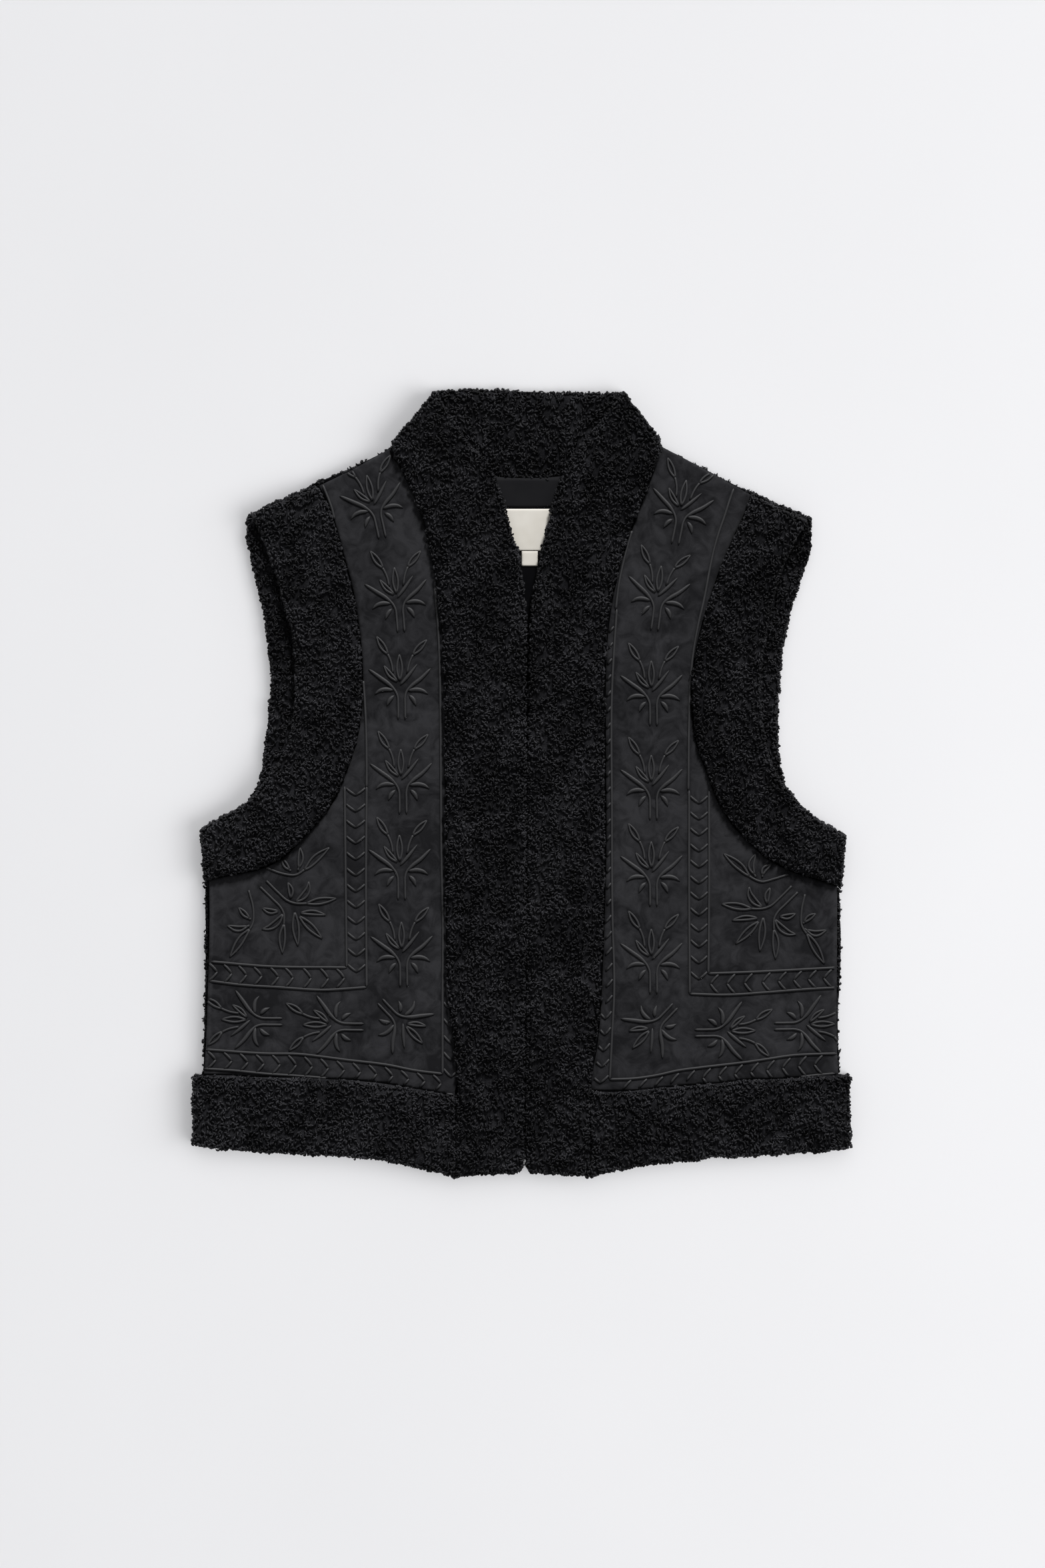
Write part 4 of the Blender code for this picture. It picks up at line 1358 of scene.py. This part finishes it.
@dataclass
class Studio:
    """Floor, light and camera of the photograph: straight down on a pale table."""

    distance: float = 3.281
    lens: float = 100.0
    centre: tuple = (0.00075, -0.00125)
    floor_half: float = 8.0
    floor_drop: float = 0.0003
    ambient: float = 0.30

    def floor(self) -> None:
        """Lay a pale floor below the vest."""
        half, down = self.floor_half, -self.floor_drop
        points = np.array([(x * half, y * half, down) for x, y in ((-1, -1), (1, -1), (1, 1), (-1, 1))])
        graph = Graph("pale_table")
        soft = graph.noise(0.004, 2.0)
        colour = graph.blend(soft, (0.80, 0.80, 0.815), (0.83, 0.83, 0.845))
        finish = graph.finish(colour, 0.8, 0.2, {})
        make_mesh("table_top", points, [np.array([[0, 1, 2, 3]])], finish)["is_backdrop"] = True

    def light(self) -> None:
        """Add even light from all round."""
        world = bpy.data.worlds.new("studio")
        world.use_nodes = True
        shade = world.node_tree.nodes["Background"]
        shade.inputs["Color"].default_value = (1.0, 1.0, 1.012, 1.0)
        shade.inputs["Strength"].default_value = self.ambient
        bpy.context.scene.world = world

    def lamps(self) -> None:
        """Add the lamps: one soft key for the vest, and four for the table and the shadows on it."""
        things = [item for item in bpy.context.scene.objects if item.type == "MESH"]
        table = [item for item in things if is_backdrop(item)]
        vest = [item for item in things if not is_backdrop(item)]
        for name, towards, spread, strength, lit in (
            ("key", (0.26, 1.0, 0.62), 12.0, 4.0, vest),
            ("table_key", (0.2, 1.0, 1.6), 60.0, 0.50, table),
            ("table_wash", (0.0, 0.0, 1.0), 8.0, 0.80, table),
            ("table_right", (1.0, -0.45, 1.0), 40.0, 1.12, table),
        ):
            data = bpy.data.lights.new(name, "SUN")
            data.angle = np.radians(spread)
            self.lamp(data, towards, strength, lit)
        data = bpy.data.lights.new("table_side", "AREA")
        data.shape = "SQUARE"
        data.size = 1.4
        self.lamp(data, (2.2, 0.0, 1.2), 18.0, table)

    def lamp(self, data: bpy.types.Light, place: tuple, strength: float, lit: list) -> None:
        """Put a lamp into the scene, facing the vest, and let it light only some objects.

        Args:
            data: the lamp's light.
            place: where it stands, in metres; of a sun only the direction counts.
            strength: its light, in watts per square metre for a sun and else in watts.
            lit: the objects that it lights.
        """
        data.energy = strength
        item = bpy.data.objects.new(data.name, data)
        item.location = place
        item.rotation_euler = (-Vector(place)).to_track_quat("-Z", "Y").to_euler()
        bpy.context.scene.collection.objects.link(item)
        group = bpy.data.collections.new(data.name + "_lights")
        for thing in lit:
            group.objects.link(thing)
        item.light_linking.receiver_collection = group

    def camera(self) -> None:
        """Put the camera straight above, with 0.5 mm to a dot of the photograph."""
        data = bpy.data.cameras.new("overhead")
        data.lens = self.lens
        data.sensor_width = 36.0
        item = bpy.data.objects.new("overhead", data)
        item.location = (*self.centre, self.distance)
        bpy.context.scene.collection.objects.link(item)
        bpy.context.scene.camera = item

    def build(self) -> None:
        """Set up the camera, the floor, the even light from all round and the view."""
        self.camera()
        self.floor()
        self.light()
        bpy.context.scene.view_settings.view_transform = "Standard"


@dataclass
class Vest:
    """The whole vest, built from the back layer to the front layer."""

    back_piles: tuple = ("back_body", "hem_band_back", "armhole_band_back_l", "armhole_band_back_r",
                         "collar_back")
    front_piles: tuple = ("front_band_l", "front_band_r", "armhole_band_front_l", "armhole_band_front_r",
                          "hem_band_front_l", "hem_band_front_r")

    def fronts(self) -> None:
        """Make the suede fronts with their embroidery."""
        suede = SuedeFinish().material()
        thread = ThreadFinish().material()
        # the last number of a row lightens the side fold: a painted highlight
        rows = ((Side.LEFT, LEFT_STITCHING, 3.2, 2.2, 2.4), (Side.RIGHT, RIGHT_STITCHING, 0.0, 0.0, 1.4))
        for side, stitching, side_reach, band_reach, worn in rows:
            panel = ClothPiece("front_panel_" + side.value, "suede", step=1.7, low=8.8, edge_drop=0.5,
                               edge_width=1.2, ripples=((34.0, 0.22, 31), (11.0, 0.08, 32)),
                               side_reach=side_reach, band_reach=band_reach, worn=worn).prepare()
            work = Embroidery(side, panel, **stitching)
            lines = work.stitches()
            cloth = panel.build(suede, np.concatenate([line.points for line in lines]) * MM)
            raised = work.build(lines, thread)
            panel.outline.flat
            panel.outline.area

    def linings(self) -> None:
        """Make the lining and the facing inside the back, and the bare labels."""
        # black lining, darkened further as painted shade in the deep V between the fronts
        black_and_shaded = ((0.0006, 0.0006, 0.0011), (0.0022, 0.0022, 0.0030))
        grey = ((0.0048, 0.0048, 0.0060), (0.0098, 0.0098, 0.0112))
        cream = ((0.62, 0.585, 0.515), (0.78, 0.75, 0.69))
        lining = WeaveFinish("lining_weave", *black_and_shaded, pitch=0.7, roughness=0.7, gloss=0.05)
        facing = WeaveFinish("facing_cloth", *grey, pitch=0.5, roughness=0.75, gloss=0.12)
        ribbon = WeaveFinish("cream_ribbon", *cream, pitch=0.55, roughness=0.6, gloss=0.3)
        woven = {"step": 1.0, "low": 8.8, "edge_drop": 0.15, "edge_width": 0.7}
        rows = (
            (lining, "back_body", ClothPiece("back_lining", "lining", step=6.0, low=7.5, edge_drop=0.0,
                                             edge_width=1.0, ripples=((26.0, 0.12, 41),))),
            (facing, "back_body", ClothPiece("back_neck_facing", "facing", step=2.6, low=7.5, edge_drop=0.2,
                                             edge_width=1.0, ripples=((30.0, 0.10, 42),))),
            (ribbon, "back_neck_facing",
             ClothPiece("neck_label", "woven", ripples=((9.0, 0.06, 43),), **woven)),
            (ribbon, "back_lining", ClothPiece("size_tab", "woven", **woven)),
        )
        for finish, under, cloth in rows:
            piece = cloth.prepare().build(finish.material())
            flat = cloth.outline.flat
            min(cloth.outline.area, flat[0] * flat[1])

    def piles(self) -> None:
        """Make the curly pile of the bands, the collar and the back."""
        curly = PileFinish().material()
        matted = PileFinish((0.0082, 0.0082, 0.0094), (0.0208, 0.0208, 0.0232), "pile_ground", gloss=0.05,
                            roughness=0.9, fibre=0.8, depth=0.9, mottle=3.2).material()
        over = (*self.front_piles, "front_panel_l", "front_panel_r", "back_lining", "back_neck_facing")
        rims = [Outline.of(node).points for node in over]
        beside = neighbours()
        for node in (*self.back_piles, *self.front_piles):
            body = node == "back_body"
            pile = Pile(node, 4.6 if body else 3.5, beside[node], SHADE.get(node, 0.0), flush=body)
            ground = pile.ground(matted)
            curls = pile.curls(rims if node in self.back_piles else [], curly)
            outline = Outline.of(node)
            outline.flat
            outline.area

    def build(self) -> None:
        """Make every piece."""
        self.fronts()
        self.linings()
        self.piles()


def main() -> None:
    """Build the vest in its studio."""
    logging.basicConfig(level=logging.INFO, format="%(name)s %(message)s")
    studio = Studio()
    studio.build()
    Vest().build()
    studio.lamps()


if __name__ == "__main__":
    main()
